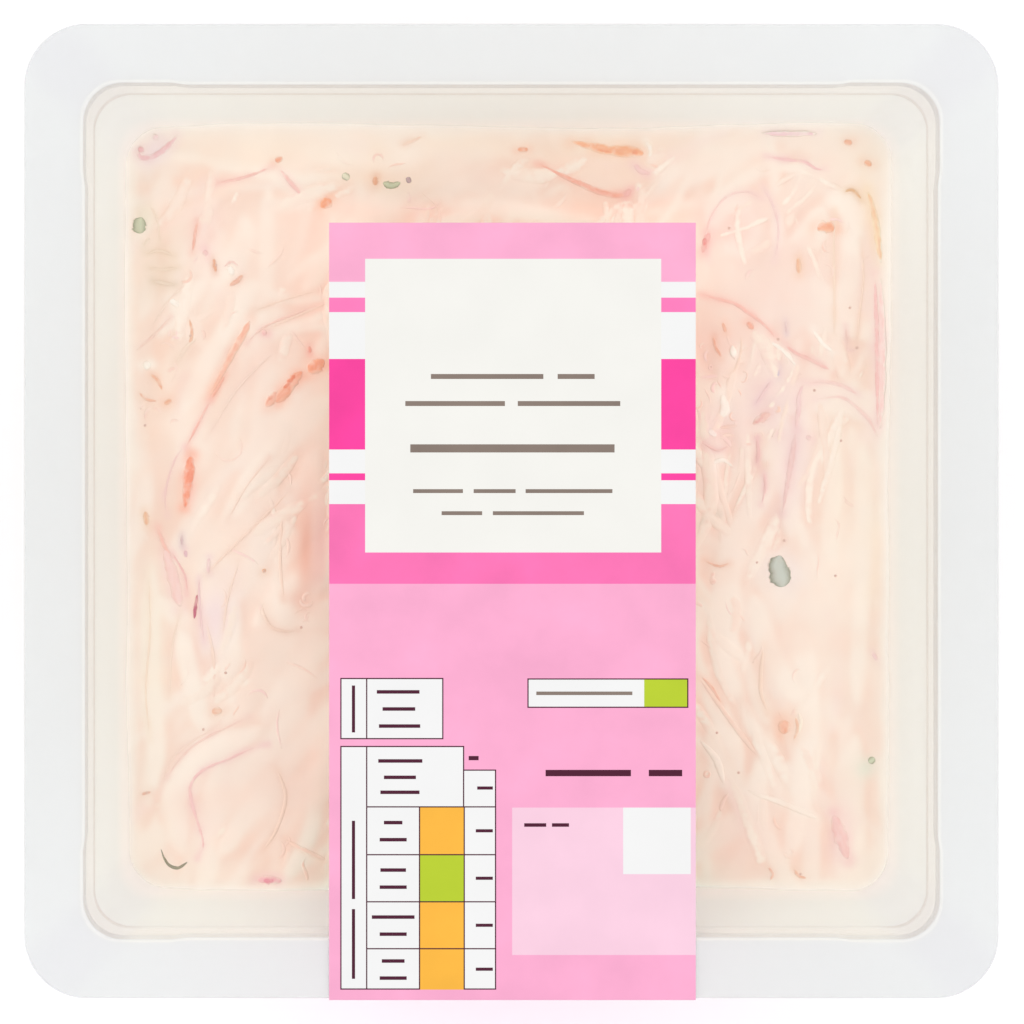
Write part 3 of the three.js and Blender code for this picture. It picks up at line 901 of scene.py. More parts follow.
class Spread:
    """A square of salad as a raster: how high it stands, its colour, and how strongly the painted
    shade along the edges of its shreds shows."""

    def __init__(self, half):
        self.start = -half
        self.x = np.arange(-half, half + RASTER_PITCH, RASTER_PITCH)
        x, y = np.meshgrid(self.x, self.x)
        self.height = food_level(x, y) - LAID_DEPTH
        self.colour = np.broadcast_to(GAP_SHADE_TINT, (*x.shape, 3)).copy()
        self.line = np.zeros_like(x)

    def sample(self, field, places):
        """A field at places between its points, as the mean of the four nearest by nearness."""
        at = np.clip((places[..., :2] - self.start) / RASTER_PITCH, 0, len(self.x) - 1.001)
        column, row = np.moveaxis(at.astype(int), -1, 0)
        right, up = at[..., 0] - column, at[..., 1] - row
        if field.ndim == 3:
            right, up = right[..., None], up[..., None]
        low = mix(field[row, column], field[row, column + 1], right)
        high = mix(field[row + 1, column], field[row + 1, column + 1], right)
        return mix(low, high, up)

    def around(self, route, reach):
        """The raster points round a route: their window, how far along it and how far off it each
        lies, and which lie to its right."""
        low = np.searchsorted(self.x, route.min(axis=0) - reach)
        past = np.searchsorted(self.x, route.max(axis=0) + reach)
        window = np.s_[low[1]:past[1], low[0]:past[0]]
        x, y = np.meshgrid(self.x[low[0]:past[0]], self.x[low[1]:past[1]])
        start, step = route[:-1], np.diff(route, axis=0)
        dx, dy = x[..., None] - start[:, 0], y[..., None] - start[:, 1]
        share = np.clip((dx * step[:, 0] + dy * step[:, 1]) / (step ** 2).sum(axis=1), 0, 1)
        off_x, off_y = dx - share * step[:, 0], dy - share * step[:, 1]
        nearest = (off_x ** 2 + off_y ** 2).argmin(axis=-1)[..., None]
        fields = np.stack([share, off_x, off_y])
        share, off_x, off_y = np.take_along_axis(fields, nearest[None], -1)[..., 0]
        return window, (nearest[..., 0] + share) / len(step), np.hypot(off_x, off_y), off_x > 0

    def blend(self, tint, share):
        """Mixes a colour into the salad's own by a field of shares."""
        self.colour = mix(self.colour, tint, share[..., None])

    def lay(self, route, width, stand, tint, cover, line):
        """Lays one shred: an arched strip on what lies there already, with its tint on its top
        and a warm painted shade inside its edges, stronger on its right than on its left."""
        window, at, far, right = self.around(route, width)
        taper = np.sqrt(np.clip(END_ROUNDNESS * at * (1 - at), 0, 1))
        half = width / 2 * np.clip(taper, END_WIDTH, 1)
        under = np.pad(self.sample(self.height, route), BED_POINTS // 2, mode="edge")
        under = np.convolve(under, np.ones(BED_POINTS) / BED_POINTS, mode="valid")
        bed = np.interp(at, np.linspace(0, 1, len(route)), under)
        arch = bed + stand * (np.sqrt(np.clip(1 - (far / half) ** 2, 0, 1)) - ARCH_START)
        inside = (far < half) & (arch > self.height[window])
        strength = cover * smooth_step((half - far) / (0.35 * half)) * inside
        # Painted shade inside the shred's edges, heavier on its right.
        outline = line * smooth_step(1 - (half - far) / 0.5) * np.where(right, 1.0, 0.6)
        self.height[window] = np.where(inside, arch, self.height[window])
        self.colour[window] = mix(self.colour[window], tint, strength[..., None])
        self.line[window] = np.where(inside, outline, self.line[window])

    def stain(self, route, width, tint, strength):
        """Colours the dressing softly round what lies in it, by a field of strengths."""
        window, at, far, right = self.around(route, 2 * width + 1)
        near = np.exp(-(far / (0.5 * width + 0.3)) ** 2) * strength[window]
        self.colour[window] = mix(self.colour[window], tint, near[..., None])


def cloud_field(shape, reach, random):
    """Soft random patches, about -1 to 1, that change over a reach in millimetres."""
    field = blur(random.standard_normal(shape), reach)
    return field / (2 * field.std())


def wandering_routes(starts, headings, lengths, bends, random, points=14):
    """Paths that set out along a heading and turn steadily, with a slow sway of their own."""
    share = np.linspace(0, 1, points)[None, :]
    each = (len(starts), 1)
    swing = random.uniform(-0.4, 0.4, each)
    phase = share * random.uniform(0.5, 1.3, each) + random.random(each)
    heading = headings[:, None] + bends[:, None] * (share - 0.5) + swing * np.sin(2 * np.pi * phase)
    step = (lengths / (points - 1))[:, None]
    x = np.cumsum(step * np.cos(heading), axis=1)
    y = np.cumsum(step * np.sin(heading), axis=1)
    route = np.stack([x, y], axis=-1)
    return route + (starts - route[:, points // 2])[:, None]


def lie_of_salad(x, y):
    """The way the shreds lie: aslant on the left, along the pack on the right, and across it at
    the far side."""
    left = 1.15 + 0.25 * np.sin(y / 21.0)
    right = 1.55 + 0.22 * np.sin(y / 17.0 + x / 11.0)
    along = mix(left, right, smooth_step((x + 12) / 34))
    return mix(along, 0.15 + 0.3 * np.sin(x / 14.0), smooth_step((y - 38) / 12))


def on_salad(places):
    """The places on the salad that are seen at the given ones."""
    return np.asarray(places, float) * SEEN_STRETCH + SEEN_SHIFT


def food_level(x, y):
    """The level of the dressed salad: long swells, with the far side heaped a little higher."""
    swell = 0.55 * np.sin(x / 13 + 0.6) * np.cos(y / 17 - 0.4)
    ripple = 0.3 * np.sin(x / 6.1 + y / 8.3 + 1.1) + 0.22 * np.cos(y / 5.2 - x / 9.7)
    return SALAD_LEVEL + swell + ripple + 0.6 * (y / WALL_HALF_AT_SALAD)


def edge_distance(x, y, half, corner):
    """How far a point lies inside a rounded square, below 0 inside."""
    qx, qy = np.abs(x) - (half - corner), np.abs(y) - (half - corner)
    outside = np.hypot(np.maximum(qx, 0), np.maximum(qy, 0))
    return outside + np.minimum(np.maximum(qx, qy), 0) - corner


# The pale shreds that stand out: their route over the salad, their width and their rise.
PALE_BOLD = [
    ([(-35.7, -31.3), (-42, -33.9), (-46.4, -36.9), (-48.3, -40.6), (-47.4, -45.4), (-47, -49.2)],
     4.2, 0.6),
    ([(-32.7, -38.2), (-35.7, -41.1), (-38.9, -44.9), (-41.4, -49.2)], 3.6, 0.5),
    ([(-47.4, -16.7), (-46.3, -22), (-45.1, -27), (-44.1, -31.1)], 3.6, 0.5),
    ([(-32.4, -1), (-32.5, -9), (-32.8, -16.2)], 4.2, 0.5),
    ([(-51.5, -8), (-51.6, -22), (-50.8, -34), (-51.2, -40)], 3.6, 0.4),
    ([(-43.5, -7), (-41.5, -14), (-40.5, -24)], 6.0, 0.4),
    ([(45, 44.5), (47.7, 43.8), (48.7, 39.5), (48.3, 32.3), (47.6, 25.2)], 4.2, 0.5),
    ([(28.5, 40), (30, 44), (33.5, 44), (35, 40.5), (33, 37.4), (30, 37.8)], 4.6, 0.4),
    ([(42, 15.2), (41.3, 8.7), (40.1, 1.6), (39.9, -4.1)], 3.4, 0.4),
    ([(46.7, 13), (46.4, 4.4), (45.6, -4.1), (45.9, -12.7)], 3.6, 0.4),
    ([(50.2, 10), (50.6, 0), (49.8, -16), (49.4, -28)], 3.2, 0.4),
    ([(29.3, -18.5), (32, -25.6), (36, -33.5)], 3.4, 0.4),
    ([(34.5, -12), (37, -20), (41, -27.5)], 3.8, 0.4),
    ([(-50.5, 25), (-45, 32), (-41, 40)], 3.0, 0.35),
    ([(-47, 14), (-42, 24), (-36.5, 33)], 3.4, 0.4),
    ([(-41, -1.3), (-35.7, 5.9), (-30.3, 12.3), (-26.5, 16.2)], 4.4, 0.4),
    ([(-39.5, 2), (-34, 10), (-29, 21)], 3.2, 0.4),
    ([(-35.7, 24.2), (-31, 26.5), (-26.3, 28.2)], 2.0, 0.3),
    ([(30, 7), (28, 13), (30.5, 18)], 3.0, 0.35),
    ([(-8, 44), (4, 42.5), (12, 41)], 3.2, 0.4),
    ([(-30, 51.5), (-20, 49.5), (-12, 50.5)], 3.4, 0.4),
]

# Carrot shreds and bits: route, width, or widths at both ends, and tint.
CARROT_MARKS = [
    ([(-37.4, 27.3), (-38.4, 25.3), (-40.1, 22.2), (-41.7, 19.2), (-43.3, 16.2)],
     (1.7, 0.7), (249, 194, 168)),
    ([(-40.9, 19.6), (-41.9, 17.7), (-43, 15.9)], 0.5, (244, 178, 154)),
    ([(-43, 16), (-44.7, 12.7), (-46.6, 9)], (0.6, 0.4), (246, 190, 176)),
    ([(-45.9, 7.9), (-46.1, 5.9), (-46.4, 3.6), (-46.7, 0.4)], (2, 1.6), (250, 156, 122)),
    ([(-35.1, 14.9), (-34.4, 15.9), (-33.6, 17)], (1.4, 1.8), (248, 188, 162)),
    ([(-33.8, 15.6), (-32.7, 16.7), (-31.4, 17.9)], (1.7, 2.2), (247, 180, 150)),
    ([(-32.3, 17), (-31.3, 18.5), (-30, 20)], (2.2, 1.5), (246, 174, 142)),
    ([(-29.1, 19.9), (-28, 20.7), (-26.8, 21.6)], 2.1, (247, 164, 124)),
    ([(-29, 23.6), (-28.8, 22.6)], 0.7, (238, 160, 140)),
    ([(8.5, 52.9), (11.3, 52.2), (14.7, 51.5), (17.4, 51.4), (18.9, 51)], (1.3, 2.4), (249, 184, 142)),
    ([(3.8, 49.7), (6.6, 48.3), (9.6, 46.9), (12.3, 45.8), (14.6, 45.2), (16.4, 45.1)],
     (0.6, 1.5), (245, 180, 158)),
    ([(0.8, 51.7), (2.4, 51.7)], 1, (242, 170, 134)),
    ([(-27.3, 43.4), (-25.8, 44.5)], (1.4, 2), (246, 170, 126)),
    ([(43.6, 40.2), (44.9, 40.6), (46.1, 40.2)], 2, (246, 180, 144)),
    ([(39, -29.9), (39, -30.9), (38.9, -31.9)], 2, (248, 190, 160)),
    ([(47.3, 52.7), (48.6, 52.5)], 1, (245, 190, 158)),
    ([(50.3, 49.9), (51.4, 49.4)], 1.1, (244, 186, 150)),
    ([(40.9, 36.2), (41.1, 33.9)], 0.9, (242, 196, 162)),
    ([(-52.4, 0), (-52.2, -2.1)], 1, (240, 192, 156)),
    ([(-42.9, -28.8), (-41.4, -28.5)], (1.4, 1.1), (242, 196, 168)),
    ([(47.4, 45.6), (48.7, 45.8), (50, 44.5)], 0.6, (230, 186, 140)),
    ([(40.6, -29.3), (40.9, -31.1), (40.3, -32.9)], 0.6, (245, 206, 180)),
    ([(-44.9, 41.4), (-45.3, 39.4), (-45.6, 36.9)], 0.6, (243, 186, 166)),
    ([(-19.5, 47.8), (-19.5, 46.5)], 1, (232, 178, 142)),
    ([(50.8, 45.7), (51.4, 43.8), (52, 41.1), (52.4, 37.6), (52.7, 35.5)], (1.1, 1.2), (250, 216, 178)),
    ([(-33.8, 49.9), (-32.7, 50.5)], 1.1, (240, 172, 140)),
    ([(-42.6, 36.2), (-42.3, 34.1)], 0.7, (230, 172, 140)),
    ([(-40.4, 32.2), (-39.3, 32.9), (-38.4, 33.8)], 0.9, (238, 188, 164)),
    ([(33.6, 27), (34.6, 26)], 1, (243, 180, 156)),
    ([(28.8, 25), (29.1, 23.5), (30, 21.9)], (0.6, 0.7), (240, 184, 158)),
    ([(30.1, 27), (30.6, 25.5)], 0.7, (241, 186, 158)),
    ([(-51.7, 19.6), (-50.6, 18.7), (-49.9, 17.2)], (0.6, 0.7), (242, 186, 154)),
    ([(-53.3, 17), (-52.2, 16), (-50.6, 15.7)], 0.6, (242, 192, 164)),
    ([(-49.7, 15.3), (-48.6, 15.9)], 0.9, (241, 184, 150)),
    ([(-46.1, 27.6), (-45.7, 25.3), (-46.3, 23)], 0.6, (238, 190, 160)),
    ([(-35.7, -8.6), (-35.1, -8.4)], 0.7, (228, 176, 140)),
    ([(-53, -40.6), (-51.6, -40.2)], 0.6, (234, 190, 168)),
    ([(27.5, -7), (29.6, -7.9), (31.3, -7.4)], 0.5, (243, 200, 176)),
    ([(27.1, -23.6), (28.7, -25.3), (30.1, -27.6)], 0.6, (242, 194, 170)),
    ([(40.4, -51.2), (41.1, -52.2), (42.3, -52.5)], 0.6, (242, 198, 172)),
    ([(36.7, -50.9), (37.4, -51.9), (37, -52.9)], 0.6, (243, 200, 178)),
]

# Deeper streaks on the wider shreds.
CARROT_HEARTS = [
    ([(-32.7, 17.3), (-31.6, 18.6), (-30.7, 19.6)], (0.9, 1.1), (236, 136, 96)),
    ([(-34.8, 15.9), (-34.1, 16.5)], (0.9, 0.7), (240, 160, 128)),
    ([(-28.3, 20.5), (-27.4, 21.2)], 1, (238, 136, 90)),
    ([(-45.7, 6.7), (-46, 4.4), (-46.3, 2.7)], (0.7, 0.9), (248, 152, 118)),
    ([(10.9, 52.1), (13.5, 51.5), (16.1, 51.3)], (0.7, 0.9), (246, 170, 128)),
    ([(17, 51.4), (18.1, 51.1)], 0.9, (243, 164, 124)),
    ([(38.7, -30.5), (39.1, -31.1)], 0.9, (248, 176, 140)),
    ([(44.7, 40.5), (45.4, 40.4)], 0.9, (246, 168, 128)),
    ([(27.7, 39.1), (27.5, 37.9)], 0.7, (232, 150, 144)),
    ([(-35.6, -52.8), (-33.9, -52.8)], (0.6, 0.9), (234, 146, 160)),
    ([(46.6, -45.1), (47.3, -47.4)], 0.6, (243, 186, 177)),
    ([(34.8, 12.6), (36.1, 13.5)], 0.7, (236, 176, 166)),
    ([(-45, -12), (-45.2, -13.6), (-45.4, -15.4)], (0.5, 0.6), (196, 92, 116)),
]

# Pink cabbage and radish: cut edges, ribs and scraps of skin.
PINK_MARKS = [
    ([(-47.8, 53.8), (-48.6, 52.7), (-49.9, 51.5), (-51.6, 50.6), (-53, 50.6), (-53.5, 51.4)],
     (1.1, 1.1), (238, 186, 192)),
    ([(-53.3, 51.4), (-52.6, 51.9)], 1.2, (232, 166, 174)),
    ([(-51.3, 53.3), (-50.5, 53.6)], 0.9, (242, 214, 216)),
    ([(-34.3, 49.1), (-37.4, 47.9), (-40.1, 47.2), (-42.6, 46.8)], (0.7, 0.4), (242, 184, 174)),
    ([(-33.1, 48.8), (-31.6, 46.9), (-29.7, 44.8)], (0.6, 0.9), (243, 188, 180)),
    ([(-53.6, 23), (-51, 25.3), (-48.7, 27.8)], 0.5, (243, 206, 190)),
    ([(-35.7, 25.5), (-35, 25.5)], 1, (243, 186, 184)),
    ([(-50.7, -2.3), (-50.2, -3.7), (-49.6, -5.2), (-48.7, -6.4)], (0.6, 0.9), (246, 184, 168)),
    ([(-49.7, -5.3), (-48.9, -7.7), (-48.2, -10.6), (-47.4, -13.7)], (1.4, 2.4), (248, 206, 200)),
    ([(-48.9, -5.6), (-47.6, -7.6), (-46.7, -9.4), (-46.4, -11.9)], (0.4, 0.4), (240, 176, 174)),
    ([(-47.2, -3.3), (-47.2, -5)], 0.5, (206, 170, 176)),
    ([(-46.7, -5.6), (-46.6, -6.7)], 0.7, (222, 172, 184)),
    ([(-44.7, -9.4), (-44.7, -12), (-44.4, -15.7), (-43.9, -19.2)], (0.5, 0.4), (236, 196, 200)),
    ([(-43.3, -6.7), (-43.4, -9)], 0.7, (236, 198, 200)),
    ([(-34.8, -33.3), (-37.8, -34.2), (-40.7, -35.6), (-43.3, -36.6), (-45, -37.8), (-46, -39.6),
      (-45.7, -41.9), (-44.6, -45.4), (-44.1, -47.8), (-44.9, -49.7)], (0.5, 0.6), (242, 188, 188)),
    ([(-37.4, -29.3), (-40.6, -30.9), (-43.3, -32.2), (-45.9, -33.9), (-47.9, -36.1), (-49.4, -38.2)],
     0.4, (243, 204, 192)),
    ([(-36.4, -52.8), (-34.8, -52.7), (-32.9, -52.9)], (1.2, 1.5), (238, 158, 172)),
    ([(35.7, 53.9), (39.6, 53.8), (43.4, 53.8)], (0.7, 0.9), (243, 206, 214)),
    ([(36, 50.7), (39.1, 50.2), (41.6, 49.9), (43.4, 48.9), (44.7, 48.7)], (0.7, 0.4), (242, 190, 190)),
    ([(35.8, 46.5), (37.3, 43.6), (38.1, 40.2), (37.6, 35.6)], 0.4, (242, 206, 204)),
    ([(52.7, 33.2), (52.8, 28.2), (52.9, 22.4), (52.9, 16.5), (52.7, 11.8)], (1.2, 1), (252, 212, 208)),
    ([(51.8, 33.9), (52, 30.2), (52.1, 26.8), (52.2, 22.5), (52.3, 16.5), (52.3, 12.4)],
     (0.8, 0.6), (246, 188, 186)),
    ([(26.4, 31.1), (29.7, 30.3), (32, 29.6), (34, 28.2), (36.1, 26.6), (38, 24.6)],
     (0.7, 0.6), (245, 180, 166)),
    ([(38.9, 23.9), (40.6, 22.6), (42.4, 21.8), (44.1, 20.9), (46.1, 20)], (0.7, 0.6), (241, 182, 174)),
    ([(39.1, 27.3), (39.3, 25.3)], 0.4, (226, 196, 198)),
    ([(41.7, 18.2), (41.1, 16.5), (41, 14.5), (40.7, 11.6)], (0.6, 1.1), (240, 200, 200)),
    ([(40.7, 11.3), (40, 7), (39.4, 3.6), (38.7, -0.4)], (1.3, 0.6), (234, 192, 190)),
    ([(35.1, 10.4), (35.3, 8.4), (35.1, 6.7)], 0.7, (236, 184, 182)),
    ([(36.1, 5.6), (36.3, 3.6), (35.8, 1)], (0.7, 0.4), (238, 190, 188)),
    ([(37.1, 18.6), (36.1, 17.2), (34.8, 15.2)], 0.4, (236, 198, 200)),
    ([(38.1, 20.7), (38.1, 19.2)], (0.7, 0.6), (212, 190, 204)),
    ([(34.4, 12.4), (35.7, 13.2), (37, 14)], (1.1, 1.6), (240, 188, 176)),
    ([(42.4, 18.3), (44.7, 18.5), (47.4, 17.9), (49.7, 16.6)], (0.5, 0.7), (245, 208, 200)),
    ([(43.1, 15.9), (47, 16.3), (49.3, 14.9), (51.2, 12.9), (52.4, 10.6)], (0.5, 0.7), (245, 208, 200)),
    ([(47.6, 26.5), (47.9, 24.5), (48.2, 23), (49.4, 23.2)], 0.4, (240, 202, 192)),
    ([(46, -43.5), (46.9, -45.9), (48, -49.7)], (1.8, 2.3), (243, 192, 188)),
    ([(28.3, 35.6), (27.7, 38.8), (28.7, 42.5), (31, 45.1), (33.8, 45.6), (35.8, 44.5)],
     0.4, (243, 206, 200)),
    ([(28.3, 39.9), (27.8, 38.5), (27.3, 36.9)], (1.3, 1.1), (236, 166, 160)),
    ([(-49.2, -0.7), (-49.6, 1.6), (-49.3, 3.9), (-48.3, 7), (-46.9, 9.3)],
     (0.4, 0.4), (243, 200, 196)),
    ([(-26, 29.9), (-30.8, 28.3), (-35.4, 26.3), (-38, 23.9)], 0.4, (243, 204, 190)),
    ([(42.1, 10.7), (42.9, 10.3)], 0.9, (240, 200, 200)),
    ([(-44, 37.3), (-43.6, 36.5)], 0.9, (240, 190, 190)),
    ([(-41.3, 34.8), (-40, 35.6), (-38.9, 34.8)], 0.5, (240, 196, 186)),
    ([(17.5, 49.6), (18.4, 48.6), (19.8, 48.2)], (1.1, 0.7), (243, 198, 196)),
    ([(16.1, 45), (17, 46)], 0.9, (240, 170, 164)),
    ([(27, 9.9), (29.3, 8.7), (31.1, 9.3)], 0.4, (238, 196, 190)),
    ([(51.6, -20.2), (52.3, -21.3)], 0.7, (242, 204, 202)),
]

# Green bits of herb, and one dark rind.
HERB_MARKS = [
    ([(-53, 42), (-53.2, 40.8), (-53, 39.7)], (2.1, 2.4), (202, 205, 174)),
    ([(-18.4, 46.9), (-17.2, 46.5), (-15.9, 46.9)], (1.3, 1), (196, 198, 162)),
    ([(38.4, -6.4), (38.1, -7.9), (38.5, -9.5), (38.9, -10.8)], (3.1, 3.9), (198, 202, 190)),
    ([(51.9, -35.3), (51.1, -36)], 1.1, (206, 210, 180)),
    ([(-50.2, -48.4), (-49.7, -49.8), (-48.9, -50.8), (-47.7, -51.1), (-46.3, -50.2)],
     (0.3, 0.7), (150, 142, 112)),
    ([(-24.2, 48.1), (-23.2, 47.4)], 1.2, (228, 223, 196)),
    ([(-15, 47.7), (-14.5, 46.9)], 0.9, (196, 164, 164)),
]

# Cut edges of pale shreds that show as thin warm lines.
EDGE_MARKS = [
    ([(26.8, -2.4), (27.5, -1.3), (28.5, -0.4), (29.7, -0.3)], 0.7, (226, 212, 194)),
    ([(-35.7, -13.3), (-35.3, -15), (-34.3, -16.6), (-32.4, -17.2), (-30.6, -17)],
     (0.4, 0.7), (236, 200, 178)),
    ([(-35.3, 25.9), (-30.8, 27.9), (-26.3, 29.8)], 0.5, (242, 208, 188)),
    ([(-37.1, 28.5), (-32.6, 30.2), (-27.7, 31.6)], 0.4, (243, 212, 192)),
    ([(-33.6, -36.8), (-32.3, -40.8), (-33.6, -45.5), (-35.7, -48.8)], 0.6, (241, 204, 182)),
    ([(36, -19.2), (35.7, -22.8), (35.7, -26), (36.7, -28.9)], 0.7, (245, 210, 186)),
    ([(26.8, -23.8), (29.8, -27.9), (32.7, -31.8), (35.3, -35.2)], (0.7, 1), (244, 206, 186)),
    ([(-32.6, -46.9), (-29.6, -48.5), (-26.3, -50.1)], (0.6, 1), (244, 202, 180)),
    ([(-52.3, 36.8), (-50.3, 37.2), (-48.4, 36.5)], 0.6, (234, 206, 178)),
    ([(-52, 34.8), (-49.9, 34.5), (-47.7, 34.8)], 0.6, (233, 204, 176)),
    ([(-51.4, 32.9), (-49.9, 32.6), (-48, 32.3)], 0.7, (226, 200, 174)),
    ([(-52.6, 37.9), (-51.7, 39.1)], 0.6, (236, 212, 188)),
    ([(-51.7, 43.8), (-50.6, 41.4), (-50.3, 38.2)], 0.4, (240, 214, 190)),
    ([(-48, 21), (-46.6, 23.3), (-45, 24.8)], 0.7, (240, 210, 188)),
    ([(-43.7, -15.6), (-42.6, -21.3), (-42.6, -27.9)], 0.6, (243, 208, 190)),
    ([(-50.3, -39.9), (-49.2, -36.5), (-46.6, -33.6), (-41.6, -30.5)], 0.4, (243, 210, 194)),
    ([(-32.8, 0.4), (-33.1, -7), (-32.6, -12.7)], 0.6, (244, 212, 192)),
    ([(-15.8, 52.2), (-12.8, 53.5)], 0.6, (243, 200, 174)),
    ([(46.1, 43.1), (46, 37.3), (46.1, 30.2), (46.1, 23.8)], 0.4, (245, 214, 190)),
    ([(49.9, 38.8), (50.2, 33.1), (49.6, 27.3), (49.3, 23.6)], 0.4, (244, 208, 186)),
    ([(-38.9, -7), (-40.6, -12.7), (-41.4, -18.5)], 0.4, (243, 212, 194)),
    ([(-51.7, -32.8), (-52.3, -25.6), (-51.7, -17), (-52, -8.4)], 0.4, (246, 220, 196)),
    ([(-48.9, -27), (-48.6, -19.9), (-47.4, -14.2)], 0.4, (246, 218, 198)),
    ([(-31.7, 3), (-35.7, -1.1), (-40.1, -5.4), (-43.9, -9.2)], 0.6, (242, 206, 186)),
    ([(-34.6, 7.7), (-38, 3.4), (-40.6, -1.3)], 0.4, (244, 212, 194)),
    ([(-43.7, 10.2), (-39.1, 17.6), (-33.7, 23)], 0.4, (243, 210, 194)),
    ([(-51.7, 25.9), (-48.9, 30.2), (-45.1, 33.6)], 0.4, (243, 214, 196)),
    ([(32.8, 25.3), (32.7, 22.8), (32.1, 20.7), (31.1, 19.2)], 0.5, (242, 206, 184)),
]

# Pale scraps, partly pale cabbage and partly painted highlights where the moist salad glints.
PALE_SCRAPS_AND_GLINTS = [
    ([(32.1, 22.8), (31.1, 22.6)], (2.4, 2), (252, 243, 231)),
    ([(30, 16.7), (30.4, 14.7), (30, 13.3)], (1.4, 1.9), (252, 242, 230)),
    ([(-40.6, 34.2), (-39.7, 34.6)], 1.7, (252, 242, 230)),
    ([(-52.7, 20.7), (-51.6, 21)], 1.4, (252, 243, 230)),
    ([(19.2, 53), (19.8, 51.8), (19.7, 50.2)], (1, 0.7), (251, 239, 226)),
    ([(43, 25.9), (44.7, 23.8), (45.9, 22.8)], (1, 0.7), (252, 241, 229)),
    ([(37, 24.2), (39, 22.8), (40.7, 20.7)], (0.9, 0.7), (251, 240, 228)),
    ([(-48.9, 30.2), (-47.4, 29.3)], 1.1, (252, 242, 230)),
    ([(27.8, 6.4), (30.1, 7.3), (31.8, 6.2)], (0.9, 0.7), (251, 240, 228)),
    ([(28, 11.6), (29.3, 10.7)], (0.9, 1.1), (250, 234, 226)),
    ([(41, -28.8), (41.4, -30.2), (41.1, -31.9)], 0.6, (251, 236, 216)),
    ([(27, -32.8), (29.3, -35.6), (30.4, -39.1)], (1, 1.3), (251, 236, 222)),
    ([(33.6, -39.9), (39.9, -42.2), (44, -44.1)], (1.2, 0.9), (250, 233, 218)),
]

# Dark specks of seasoning.
SPECKS = [
    (-33.1, 50.1), (-42.3, 35.1), (-39.3, 33.1), (-45.9, 25), (-52.4, 12.2), (-40.9, -23.2),
    (-35.4, -8.6), (-30.1, -16.7), (-44.1, -31.3), (-52.2, -40.4), (31.1, 40.4), (34.3, 26.5),
    (38.1, 24.5), (49.4, 23.3), (43.3, 17.2), (47.2, 10), (35.1, -7.4), (29.4, -31.8), (32.5, -37.5),
    (41.3, -52), (48.3, 29), (39, -4.3), (46.3, -9.3),
]

# Where small curled fibres crowd: middle, reach and number.
TANGLES = [
    (-50.5, 16, 2.2, 12), (-46, 26, 2.2, 6), (-44.5, 35, 2.0, 6), (29.5, 21, 2.4, 16),
    (29, 11, 2.6, 12), (35, 15, 2.0, 6), (18.5, 49.5, 1.6, 6), (-19, 47.5, 2.0, 5), (33, -46, 4.0, 5),
    (29, -9, 2.4, 5), (39, -30, 2.0, 4), (44, 37, 2.4, 4), (-30, -14, 2.0, 5), (-38, -27, 2.4, 4),
    (31, 45, 2.4, 4), (-33, -51, 3.0, 3),
]

# Where the dressing lies deep and smooth: middle, and half length along X and along Y.
CALM = [
    (-35, 37.5, 8, 8), (-35, 52, 12, 3.5), (32, 31, 7, 5), (-31, -20, 6, 7), (-34, -41, 8, 6),
    (31, 50, 6, 3),
]

